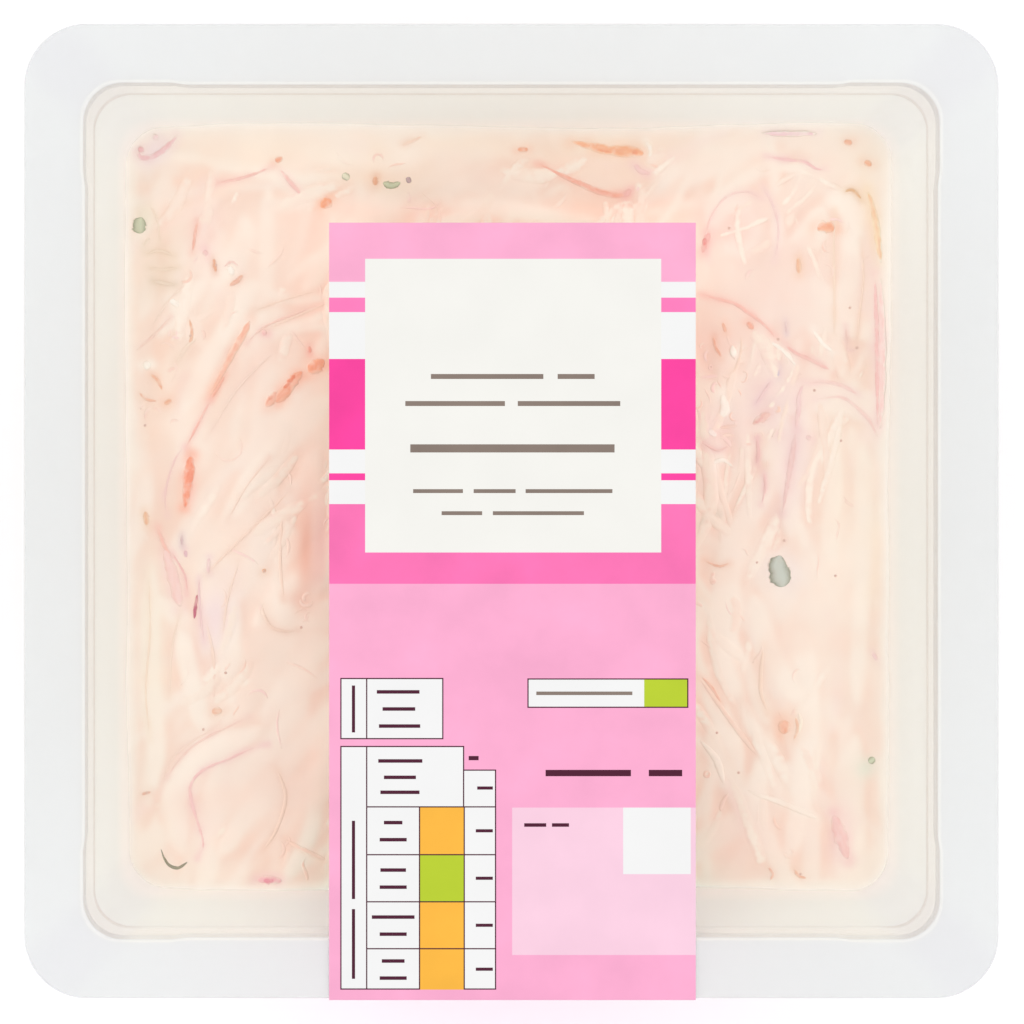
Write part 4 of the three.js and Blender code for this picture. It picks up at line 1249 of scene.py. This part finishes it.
# Soft clouds of colour in the dressing: middle, half length, half width, turn, tint and strength.
# The strong ones also calm the relief.
STRONG_CLOUD = 0.7
CLOUDS = [
    (38, 28, 15, 8, 1.57, (244, 210, 199), 0.52), (37, 3, 12, 6, 1.57, (246, 216, 204), 0.3),
    (8, 51.5, 16, 3, 0, (248, 222, 198), 0.5), (-35, 51.5, 12, 3, 0, (249, 224, 200), 0.5),
    (29, 24, 5, 4.4, 0.2, (245, 204, 188), 0.75), (33.5, -47, 8, 6, 0.1, (245, 207, 192), 0.5),
    (53.4, 23.5, 11, 1.7, 1.57, (249, 208, 204), 0.9), (52, 40.5, 6.5, 1.4, -1.3, (250, 208, 164), 0.7),
    (-50, 34.4, 4.4, 3.0, 1.3, (238, 212, 188), 0.75),
    (-46.5, 22.6, 2.4, 1.9, 0.9, (240, 208, 186), 0.6),
    (-42.5, -15.5, 4.4, 2.4, 1.4, (238, 208, 214), 0.6),
    (-43.5, 39.8, 5.5, 2.4, 1.5, (248, 212, 202), 0.5),
    (-29.4, -4.8, 7.2, 1.35, 1.54, (238, 178, 154), 0.95),
    (-27.4, -4.4, 6.6, 1.3, 1.57, (238, 194, 184), 0.85),
    (40.4, 8.5, 7.5, 2.4, 1.5, (240, 208, 210), 0.5), (-36, -39, 9.5, 7, 0.4, (246, 214, 198), 0.4),
    (-51.5, -20, 12, 2.4, 1.57, (251, 238, 218), 0.6), (-51, 51.8, 3.2, 1.9, 0.9, (240, 212, 224), 0.6),
    (30.8, 40.5, 5, 4.6, 0, (245, 212, 202), 0.5), (29, 11.5, 5, 4, 0.6, (243, 207, 200), 0.65),
    (36, 15.5, 3.5, 3, 0.6, (240, 214, 212), 0.5), (39, -8.8, 3.2, 3, 0, (246, 232, 226), 0.7),
    (-52.6, 42, 2.2, 1.6, 1.5, (228, 220, 190), 0.55), (-17, 46.4, 3, 1.6, 0, (238, 214, 190), 0.5),
    (-36.5, 21, 6, 2.2, 0.9, (247, 208, 190), 0.5), (39, -31, 2.6, 2.2, 0.4, (248, 202, 174), 0.6),
    (46.9, -46.5, 4.2, 1.9, 1.3, (244, 204, 200), 0.6), (-45.4, -44, 4, 2.2, 1.4, (245, 208, 196), 0.4),
    (8, 49.5, 9, 3, -0.15, (249, 212, 190), 0.4), (-5, 48, 8, 3, 0, (247, 214, 198), 0.3),
    (51, 50, 4, 3.4, 0.8, (251, 226, 200), 0.4), (52.2, -6.5, 7.5, 1.2, 1.57, (251, 221, 192), 0.6),
    (48, 2, 14, 4.5, 1.57, (251, 234, 214), 0.45), (50.7, -36.7, 1.6, 1.3, 0.8, (228, 227, 208), 0.85),
    (29.5, -5.8, 3.5, 3, 0, (252, 238, 224), 0.45), (35.5, 17.5, 3.2, 2.6, 0, (241, 203, 197), 0.55),
    (11, 43.8, 4.5, 2.2, 0.1, (245, 200, 176), 0.6), (14.5, 52.5, 5, 1.6, 0, (252, 220, 190), 0.45),
    (-20, 48, 7, 2.2, 0, (246, 212, 184), 0.45), (-8, 52.8, 7, 1.6, 0, (250, 222, 194), 0.4),
    # The cloud at (17, 43.6) is painted shade under the carrot shreds there.
    (46.7, -28.5, 3, 3, 0, (252, 238, 224), 0.45), (17, 43.6, 2.8, 2, 0, (240, 192, 168), 0.65),
    (-44.9, 7, 2, 3.5, -0.4, (252, 238, 224), 0.4),
]

# The marks whose colours stand out: the pale shreds keep clear of them.
BOLD_MARKS = CARROT_MARKS + PINK_MARKS + HERB_MARKS


def smooth_route(points, count=26):
    """A smooth path through listed points: each stretch bends by its neighbours' slopes."""
    points = on_salad(points)
    slopes = np.gradient(points, axis=0)
    at = np.linspace(0, len(points) - 1, count)
    here = np.minimum(at.astype(int), len(points) - 2)
    t = (at - here)[:, None]
    a, b, m, n = points[here], points[here + 1], slopes[here], slopes[here + 1]
    return (
        (2 * t ** 3 - 3 * t ** 2 + 1) * a + (t ** 3 - 2 * t ** 2 + t) * m
        + (3 * t ** 2 - 2 * t ** 3) * b + (t ** 3 - t ** 2) * n
    )


def lay_salad():
    """The top of the salad: layers of shreds that lie over each other, the bold ones last."""
    random = np.random.default_rng(SEED + 1)
    top = Spread(WALL_HALF_AT_SALAD + RASTER_MARGIN)
    count = LAID_SHREDS
    starts = random.uniform(-WALL_HALF_AT_SALAD, WALL_HALF_AT_SALAD, (count, 2))
    headings = lie_of_salad(*starts.T) + random.normal(0, 0.28, count)
    headings = np.where(random.random(count) < 0.1, random.uniform(0, np.pi, count), headings)
    bends = random.normal(0, 0.5, count)
    routes = wandering_routes(starts, headings, random.uniform(13, 40, count), bends, random)
    widths = 1.2 + 4.3 * random.random(count) ** 1.6
    stands = np.clip(widths * random.uniform(0.08, 0.16, count), 0, 0.5)
    kinds = random.random(count)
    lines = random.uniform(0.1, 0.9, count)
    for route, width, stand, kind, line in zip(routes, widths, stands, kinds, lines):
        tints, cover = next((tints, cover) for end, tints, cover in LAID_KINDS if kind < end)
        top.lay(route, width, stand, tints[int(kind * 1000) % len(tints)], cover, line)
    for route, width, stand in PALE_BOLD:
        top.lay(smooth_route(route), width, stand, PALEST, 0.95, line=1.6)
    return top


def squared_reach(x, y, seen, length, width, turn=0.0):
    """The squared distance of points from a place, with the half length along the turn and the
    half width across it as units."""
    middle = on_salad(seen)
    dx, dy = x - middle[0], y - middle[1]
    along = dx * np.cos(turn) + dy * np.sin(turn)
    aside = dy * np.cos(turn) - dx * np.sin(turn)
    return (along / length) ** 2 + (aside / width) ** 2


def pour_dressing(top, x, y, random):
    """Pours dressing over the laid shreds: it fills the gaps, and lies thin in some patches, deep
    and calm in others. Tells how calm it is, and how far each point lies in a hollow."""
    bare = top.height
    calm = smooth_step(cloud_field(x.shape, 4.0, random) * 0.9 + 0.2)
    for *seen, length, width in CALM:
        calm = np.maximum(calm, np.exp(-squared_reach(x, y, seen, length, width) ** 2))
    thin_level = blur(bare, 1.2) - 0.08 + 0.1 * calm
    deep_level = blur(bare, 1.8) + 0.04
    poured = np.where(thin_level > bare, mix(thin_level, bare, 0.2), bare)
    top.height = blur(mix(poured, deep_level, 0.75 * calm), 0.3)
    relief = mix(*SOFT_RELIEF, smooth_step(y / 24 + 0.5))
    top.height = mix(blur(top.height, 1.5), top.height, relief)
    return calm, (blur(bare, 0.9) - blur(bare, 0.25)) / 0.12


def colour_dressing(top, x, y, calm, hollow, random):
    """Gives the dressing warm painted shade in its hollows and along the shreds' edges, and a painted
    highlight on its ridges, and lets it take up clouds of colour from what lies in it. Tells how
    calm it is with the strong clouds."""
    shown = 1 - 0.75 * calm
    top.colour = blur(top.colour, 0.3)
    # Warm painted shade in the hollows, a painted highlight on the ridges, and painted shade along the
    # shreds' edges.
    top.blend(GAP_SHADE_TINT, 0.6 * np.clip(hollow, 0, 1) * shown)
    top.blend(PALEST, 0.3 * np.clip(-hollow, 0, 1) * shown)
    top.blend(EDGE_SHADE_TINT, np.clip(0.75 * blur(top.line, 0.2) * shown, 0, 1))
    top.blend(DRESSING, 0.62 * calm)
    warmth = cloud_field(x.shape, 1.6, random)
    top.blend(PEACH, 0.4 * np.clip(warmth, 0, 1))
    top.blend(PALEST, 0.4 * np.clip(-warmth, 0, 1))
    warp = np.maximum(0.9 * cloud_field(x.shape, 0.9, random), -1.4)
    for *seen, length, width, turn, tint, strength in CLOUDS:
        near = np.exp(-squared_reach(x, y, seen, length, width, turn) * (1 + 0.5 * warp))
        if strength > STRONG_CLOUD:
            calm = np.maximum(calm, near)
        top.blend(ink(*tint), strength * near)
    strength = np.clip(0.4 + 0.35 * cloud_field(x.shape, 0.5, random), 0, 0.8)
    for route, width, tint in CARROT_MARKS + PINK_MARKS + EDGE_MARKS + PALE_SCRAPS_AND_GLINTS:
        top.stain(smooth_route(route), np.mean(width), ink(*tint), strength)
    return calm


def creep_up_wall(top, x, y, random):
    """Lets the dressing creep up the tray's wall, and pales it towards the wall: painted light
    against the wall's shade, which also melts its edge into the wall's tone, palest at the wall.
    """
    inside = edge_distance(x, y, WALL_HALF_AT_SALAD, WALL_CORNER)
    top.height += RIM_CREEP * np.exp(np.minimum(inside, 0) / RIM_CREEP_REACH)
    # Painted light: paler within a few millimetres of the wall, where the wall shades the salad.
    top.blend(RIM_TINT, 0.4 * smooth_step((inside + 5) / 5))
    fade = smooth_step((inside + 1.5 + 0.5 * cloud_field(x.shape, 1.5, random)) / 1.6)
    fade *= mix(0.75, 0.95, smooth_step((x + 35) / 50)) * mix(1.0, 0.45, smooth_step((y - 47) / 5))
    top.blend(RIM_TINT, fade)
    # A nearly white painted light right at the wall, against the dark line where the salad meets it.
    top.blend(RIM_GLOW, 0.9 * np.exp(np.minimum(inside, 0) / 0.4))


def light_gain(x, y):
    """What the salad's colours are multiplied by, as painted light against shade: less in the open,
    more where the label shades it, and a little more at the front, where the label and the front
    wall shade it."""
    shade = np.exp(-np.maximum(np.abs(x) - LABEL_RIGHT, 0) / LABEL_SHADE_REACH)
    shade *= smooth_step((LABEL_BACK + LABEL_SHADE_REACH - y) / LABEL_SHADE_REACH)
    shade, right = shade[..., None], (x > 0)[..., None]
    gain = mix(OPEN_GAIN, SHADED_GAIN * np.where(right, RIGHT_GAIN, 1.0), shade)
    front = smooth_step((FRONT_START - y) / FRONT_REACH)[..., None]
    return gain * mix(1, FRONT_GAIN, front * mix(*FRONT_GAIN_SHARES, shade))


def dress(top):
    """Pours dressing over the laid shreds, and gives the salad the colours that show, with painted
    shade and light in them.
    """
    random = np.random.default_rng(SEED + 2)
    x, y = np.meshgrid(top.x, top.x)
    calm, hollow = pour_dressing(top, x, y, random)
    top.calm = colour_dressing(top, x, y, calm, hollow, random)
    creep_up_wall(top, x, y, random)
    # Painted light: the colours are lightened where the label keeps light off, and darkened a little in
    # the open.
    top.gain = light_gain(x, y)
    top.colour = np.clip(top.colour * top.gain, 0, FULL_TONE)
    top.bed = blur(top.height, 0.5)


# ---------------------------------------------------------------- salad as pieces


def uneven_steps(breaks, pitches):
    """Positions from 0 outwards, with a pitch of its own in each stretch between breaks."""
    runs = []
    for low, high, pitch in zip(breaks[:-1], breaks[1:], pitches):
        runs.append(np.linspace(low, high, int(round((high - low) / pitch)), endpoint=False))
    half = np.concatenate([*runs, breaks[-1:]])
    return np.concatenate([-half[:0:-1], half])


def make_salad_body(top):
    """The body of the salad as one closed skin.

    Its top is a grid, dense where no label hides it, whose squares round the middle become
    rounded squares out to the wall. Its sides and foot are rings down the tray's inner skin."""
    wall = WALL_HALF_AT_SALAD
    across = uneven_steps([0, 25, 53, wall], [0.5, 0.36, 0.17]) / wall
    away = uneven_steps([0, 53, wall], [0.4, 0.17]) / wall
    a, b = np.meshgrid(across, away)
    share = np.maximum(np.abs(a), np.abs(b))
    places = np.stack([a, b], axis=-1) / np.maximum(share, 1e-6)[..., None]
    outline = ring_points(places, wall, WALL_CORNER, 0.0)[..., :2]
    edge_z = top.sample(top.height, outline)
    stretch = (wall_half(edge_z) + INTO_WALL) / wall - 1
    flat = outline * (share * (1 + stretch * share ** WALL_PULL))[..., None]
    level = outline * share[..., None]
    z = top.sample(top.height, level)
    upper = np.concatenate([flat, z[..., None]], axis=-1).reshape(-1, 3)
    rows, count = a.shape
    index = np.arange(rows * count).reshape(rows, count)
    middle = rows // 2
    sides = [index[middle:, -1], index[-1, -2::-1], index[-2::-1, 0], index[0, 1:], index[1:middle, -1]]
    rim = np.concatenate(sides)
    around = places.reshape(-1, 2)[rim]
    rim_z = upper[rim, 2]
    low_z = BASE_ROUND - (BASE_ROUND - WALL_THICKNESS) * np.sin(WALL_ANGLE)
    z = mix(rim_z, low_z, np.linspace(0, 1, 10)[1:, None])
    walls = ring_points(around, wall_half(z) + INTO_WALL, WALL_CORNER, z)
    foot = base_rings(around, WALL_THICKNESS - INTO_WALL)[::-1][1::3]
    lower = np.concatenate([walls, foot]).reshape(-1, 3)
    last = [[0, 0, BASE_RISE + WALL_THICKNESS - INTO_WALL]]
    points = np.concatenate([upper, lower, last])
    ring = np.concatenate([rim, len(upper) + np.arange(len(lower))]).reshape(-1, len(rim))
    after = np.roll(ring, -1, axis=1)
    faces = [
        grid_faces(rows, count, closed=False)[:, ::-1],
        np.stack([ring[:-1], ring[1:], after[1:], after[:-1]], axis=-1).reshape(-1, 4),
        np.stack([np.full(len(rim), len(points) - 1), after[-1], ring[-1]], axis=1),
    ]
    surface = dressed_surface()
    piece = make_piece("dressed_salad", points, faces, surface, "coleslaw", sharp=60)
    inward = (wall - 2.2 - 0.8 * (rim_z - z)) / wall
    mirrored = (outline.reshape(-1, 2)[rim] * inward[..., None]).reshape(-1, 2)
    below = foot[..., :2].reshape(-1, 2) * (-1, 0.9)
    taken_at = np.concatenate([level.reshape(-1, 2), mirrored, below, [[0, 0]]])
    give_colours(piece, "tint", top.sample(top.colour, taken_at))


def shred_rings(top, routes, widths, sink, bed, ragged):
    """Flat lens-shaped strips along their routes, as rings of points, and the points of both ends.

    Each has a width at either end and uneven sides. Its middle lies a sink above the bed, and
    bends with it."""
    count, steps = routes.shape[:2]
    random = np.random.default_rng(SEED + count)
    taper = (1 - np.abs(2 * np.linspace(0.02, 0.98, steps) - 1) ** 2.5)[None, :, None] ** 0.7
    run = np.gradient(routes, axis=1)
    run /= np.linalg.norm(run, axis=-1, keepdims=True)
    side = np.stack([-run[..., 1], run[..., 0]], axis=-1)[:, :, None]
    girth = mix(widths[:, :1], widths[:, 1:], np.linspace(0, 1, steps))
    wear = random.normal(0, ragged, (count, steps + 1, 2))
    wear = 1 + mix(wear[:, 1:], wear[:, :-1], 0.5)
    uneven = mix(wear[..., :1], wear[..., 1:], (1 + ACROSS_SHRED) / 2)
    reach = girth[..., None] / 2 * taper * uneven * ACROSS_SHRED
    flat = routes[:, :, None] + reach[..., None] * side
    depth = np.clip(0.1 * widths.mean(axis=1) + 0.02, *SHRED_DEPTH)[:, None, None]
    up = depth * taper * np.sin(ROUND_SHRED) + np.broadcast_to(sink, (count, steps))[..., None]
    up = up - SHRED_SKIRT * ACROSS_SHRED ** 8
    z = top.sample(bed, flat) + up
    tips = routes[:, [0, -1]]
    tip_z = top.sample(bed, tips) + up[:, [0, -1], 0]
    return np.concatenate([flat, z[..., None]], -1), np.concatenate([tips, tip_z[..., None]], -1)


def make_shreds(name, top, routes, widths, sink, tints, material, bed, edge=(1, 1, 1), ragged=0.0):
    """Many shreds in one piece. A shred's tint is its own on its crest, and that times the edge
    beside it. Cover tells how far it is out of the dressing, beside has the dressing's colour
    there, and grain is a place along, across and from one shred to the next."""
    rings, tips = shred_rings(top, routes, widths, sink, bed, ragged)
    count, steps, around = rings.shape[:3]
    size = steps * around + 2
    pole, far_pole = size - 2, size - 1
    one = [
        grid_faces(steps, around)[:, ::-1],
        fan_faces(pole, 0, around, upward=False),
        fan_faces(far_pole, pole - around, around, upward=True),
    ]
    offset = np.arange(count)[:, None, None] * size
    faces = [(part[None] + offset).reshape(-1, part.shape[1]) for part in one]
    points = np.concatenate([rings.reshape(count, -1, 3), tips], axis=1).reshape(-1, 3)
    piece = make_piece(name, points, faces, material, "coleslaw")
    out = rings[..., 2] - top.sample(top.height, rings)
    crest = out.max(axis=-1, keepdims=True)
    shown = np.clip(out / np.maximum(crest, 0.03), 0, 1) * smooth_step(crest / 0.05)
    shown = np.concatenate([shown.reshape(count, -1), np.zeros((count, 2))], axis=1).ravel()
    edging = mix(np.array(edge), 1.0, smooth_step((shown - 0.6) / 0.4)[:, None])
    # The shreds take the same painted light gain as the salad under them.
    own = np.repeat(tints, size, axis=0) * edging * top.sample(top.gain, points)
    give_colours(piece, "tint", np.clip(own, 0, FULL_TONE))
    give_colours(piece, "beside", top.sample(top.colour, points))
    give_values(piece, "cover", "FLOAT", shown)
    run = np.linalg.norm(np.diff(routes, axis=1), axis=-1).cumsum(axis=1)
    run = np.concatenate([np.zeros((count, 1)), run], axis=1)
    along = np.concatenate([np.repeat(run, around, axis=1), run[:, [0, -1]]], axis=1).ravel()
    across = np.tile(np.concatenate([np.tile(ACROSS_SHRED, steps), [1, 1]]), count)
    apart = np.repeat(np.arange(count) * GRAIN_APART, size)
    give_values(piece, "grain", "FLOAT_VECTOR", np.stack([along, across, apart], axis=-1))


def placed_shreds(name, top, marks, material, sink=0.0, veil=0.0, **looks):
    """The shreds of one kind that are placed one by one, sunk a little at their ends, and paler by a
    veil of dressing."""
    routes = np.stack([smooth_route(route) for route, width, tint in marks])
    widths = np.array([np.broadcast_to(width, 2) for route, width, tint in marks], float)
    tints = mix(np.stack([ink(*tint) for route, width, tint in marks]), DRESSING, veil)
    sink = sink - 0.04 * np.abs(np.linspace(-1, 1, routes.shape[1]))[None] ** 6
    make_shreds(name, top, routes, widths, sink, tints, material, top.height, **looks)


def marked_places(top, marks):
    """How near each raster point is to a listed mark: 1 on it, 0 a millimetre away."""
    spots = np.concatenate([smooth_route(route, 60) for route, width, tint in marks])
    rows, columns = np.round((spots[:, ::-1] - top.start) / RASTER_PITCH).astype(int).T
    field = np.zeros_like(top.height)
    field[rows, columns] = 1
    return smooth_step(4 * blur(field, 0.7))


def make_cabbage(top):
    """Pale shreds that rise from the dressing here and there and sink back into it. They dive
    under it beside the listed marks."""
    random = np.random.default_rng(SEED + 3)
    starts = random.uniform(-1, 1, (CABBAGE_SHREDS, 2)) * (WALL_HALF_AT_SALAD - 5)
    hidden = (np.abs(starts[:, 0]) < 22) & (starts[:, 1] < 37)
    starts = starts[~hidden]
    count = len(starts)
    headings = lie_of_salad(*starts.T) + random.normal(0, 0.28, count)
    bends = random.normal(0, 0.6, count)
    steps = 24
    routes = wandering_routes(starts, headings, random.uniform(14, 38, count), bends, random, steps)
    limit = WALL_HALF_AT_SALAD - 2.6
    routes = np.clip(routes, -limit, limit)
    widths = 1.0 + 2.4 * random.random(count) ** 1.7
    phase = random.random((count, 1)) + np.linspace(0, 1, steps) * random.uniform(0.6, 1.6, (count, 1))
    sink = np.clip(0.1 * widths, 0.12, 0.4)[:, None] * (-0.68 + 0.28 * np.sin(2 * np.pi * phase))
    near = marked_places(top, BOLD_MARKS)
    sink -= 0.45 * top.sample(near, routes)
    sink -= 0.2 * top.sample(top.calm, routes)
    sink -= 0.09 * smooth_step(0.3 - routes[..., 1] / 30)
    tints = np.array(CREAM)[random.integers(0, 3, count)]
    flesh = shred_flesh("cabbage_flesh", gloss=0.35, streaks=0.1, coat=0.5)
    widths = np.stack([widths, widths], axis=1)
    look = dict(bed=top.bed, edge=(1, 0.985, 0.975), ragged=0.06)
    make_shreds("cabbage_shreds", top, routes, widths, sink, tints, flesh, **look)


def make_curls(top):
    """Thin, short, curled warm lines: the cut edges and fibres that show all over the salad, and
    crowd in a few tangles."""
    random = np.random.default_rng(SEED + 4)
    loose = random.uniform(-1, 1, (LOOSE_CURLS, 2)) * (WALL_HALF_AT_SALAD - 3.5)
    tangled = [random.normal(on_salad(seen), reach, (number, 2)) for *seen, reach, number in TANGLES]
    limit = WALL_HALF_AT_SALAD - 3
    starts = np.clip(np.concatenate([loose, *tangled]), -limit, limit)
    count = len(starts)
    crowded = np.arange(count) >= LOOSE_CURLS
    headings = lie_of_salad(*starts.T) + random.normal(0, 0.7, count)
    bends = random.normal(0, np.where(crowded, 2.6, 1.6))
    lengths = random.uniform(1.5, np.where(crowded, 4.0, 7.0))
    routes = wandering_routes(starts, headings, lengths, bends, random, points=12)
    widths = random.uniform(0.35, np.where(crowded, 0.9, 0.7))
    near = marked_places(top, BOLD_MARKS)
    sink = -0.02 - 0.3 * top.sample(near, routes)
    tints = np.array(FIBRE_TINTS)[random.integers(0, np.where(crowded, len(FIBRE_TINTS), 3))]
    flesh = shred_flesh("cut_fibre", gloss=0.35, streaks=0.1, coat=0.5)
    widths = np.stack([widths, 0.7 * widths], axis=1)
    make_shreds("curled_fibres", top, routes, widths, sink, tints, flesh, top.bed, ragged=0.1)


def make_bits(top):
    """The pieces of the other kinds, each placed one by one: they colour the salad sparsely."""
    carrot = shred_flesh("carrot_flesh", gloss=0.35, streaks=0.8, coat=0.45)
    pink = shred_flesh("pink_flesh", gloss=0.35, streaks=0.3, coat=0.5)
    leaf = shred_flesh("herb_leaf", gloss=0.4, streaks=0.3, coat=0.2, full=0.5)
    cut = shred_flesh("cabbage_edge", gloss=0.35, streaks=0.1, coat=0.45)
    skin = shred_flesh("speck_skin", gloss=0.45, streaks=0.2, coat=0.2, full=0.5)
    specks = [([(x - 0.2, y), (x + 0.2, y + 0.1)], 0.45, (222, 184, 168)) for x, y in SPECKS]
    pink_look = dict(veil=0.22, edge=(0.99, 0.94, 0.95), ragged=0.16)
    kinds = [
        ("carrot_shreds", CARROT_MARKS, carrot, dict(edge=(1.0, 1.12, 1.15), ragged=0.14)),
        ("carrot_hearts", CARROT_HEARTS, carrot, dict(sink=0.1, ragged=0.2)),
        ("pink_cabbage_shreds", PINK_MARKS, pink, pink_look),
        ("herb_bits", HERB_MARKS, leaf, dict(sink=0.03, edge=(0.54, 0.53, 0.44), ragged=0.13)),
        ("cut_edges", EDGE_MARKS, cut, dict(veil=0.35, ragged=0.1)),
        ("pale_scraps_and_glints", PALE_SCRAPS_AND_GLINTS, cut, dict(ragged=0.1)),
        ("specks", specks, skin, dict(sink=0.03)),
    ]
    for name, marks, flesh, look in kinds:
        placed_shreds(name, top, marks, flesh, **look)


# ---------------------------------------------------------------- stage, light and camera


# The lights in metres and watts, and the floor and the camera in millimetres.
WORLD_STRENGTH = 1.14
KEY_POWER = 4.5
FILL_POWER = 3.5
PANEL_SIZE = 1.4
PANEL_TARGET = (0, 0, 0.03)
FLOOR_HALF = 6000.0
CAMERA_HEIGHT = 560.0
CAMERA_AT = (-22.0, 11.5)
FRAME_MIDDLE = (0.07, -0.14)
FRAME_WIDTH = 143.9


def make_stage():
    """A wide white floor with the faintest grain."""
    far = FLOOR_HALF * MM
    points = [(-far, -far, 0), (far, -far, 0), (far, far, 0), (-far, far, 0)]
    mesh = bpy.data.meshes.new("floor")
    mesh.from_pydata(points, [], [(0, 1, 2, 3)])
    floor = bpy.data.objects.new("floor", mesh)
    bpy.context.scene.collection.objects.link(floor)
    material, tree = new_material("white_floor")
    colour = mottled(tree, (0.94, 0.95, 0.975, 1), scale=4.0, amount=0.004)["Color"]
    end_in(tree, principled(tree, {"Base Color": colour, "Roughness": 0.8}))
    mesh.materials.append(material)


def add_panel(name, place, power):
    """A square soft light that faces the pack."""
    data = bpy.data.lights.new(name, "AREA")
    data.shape, data.size, data.energy = "SQUARE", PANEL_SIZE, power
    lamp = bpy.data.objects.new(name, data)
    lamp.location = place
    lamp.rotation_mode = "QUATERNION"
    lamp.rotation_quaternion = (Vector(PANEL_TARGET) - Vector(place)).to_track_quat("-Z", "Y")
    bpy.context.scene.collection.objects.link(lamp)


def light_stage():
    """A bright even room, and two soft panels from the sides that give a little shape."""
    world = bpy.data.worlds.new("studio")
    world.use_nodes = True
    world.cycles.sampling_method = "NONE"
    background = world.node_tree.nodes["Background"]
    background.inputs["Color"].default_value = (1.0, 1.0, 1.0, 1)
    background.inputs["Strength"].default_value = WORLD_STRENGTH
    bpy.context.scene.world = world
    add_panel("key_panel", (-1.6, 0.6, 1.3), KEY_POWER)
    add_panel("fill_panel", (1.6, -0.4, 1.3), FILL_POWER)
    settings = bpy.context.scene.view_settings
    settings.view_transform = "Standard"
    settings.look = "None"


def place_camera():
    """Above the pack, a little to the left and to the back of its middle, and looking straight
    down. The lens is shifted back, so that the flange stays in the middle of the frame."""
    data = bpy.data.cameras.new("camera")
    data.sensor_width = 36.0
    data.lens = data.sensor_width * CAMERA_HEIGHT / FRAME_WIDTH
    data.shift_x = (FRAME_MIDDLE[0] - CAMERA_AT[0]) / FRAME_WIDTH
    data.shift_y = (FRAME_MIDDLE[1] - CAMERA_AT[1]) / FRAME_WIDTH
    data.clip_end = 30
    camera = bpy.data.objects.new("camera", data)
    camera.location = Vector((*CAMERA_AT, FLANGE_TOP + CAMERA_HEIGHT)) * MM
    bpy.context.scene.collection.objects.link(camera)
    bpy.context.scene.camera = camera


place_camera()
make_stage()
light_stage()
make_tray()
make_film()
make_label()
top = lay_salad()
dress(top)
make_salad_body(top)
make_cabbage(top)
make_curls(top)
make_bits(top)
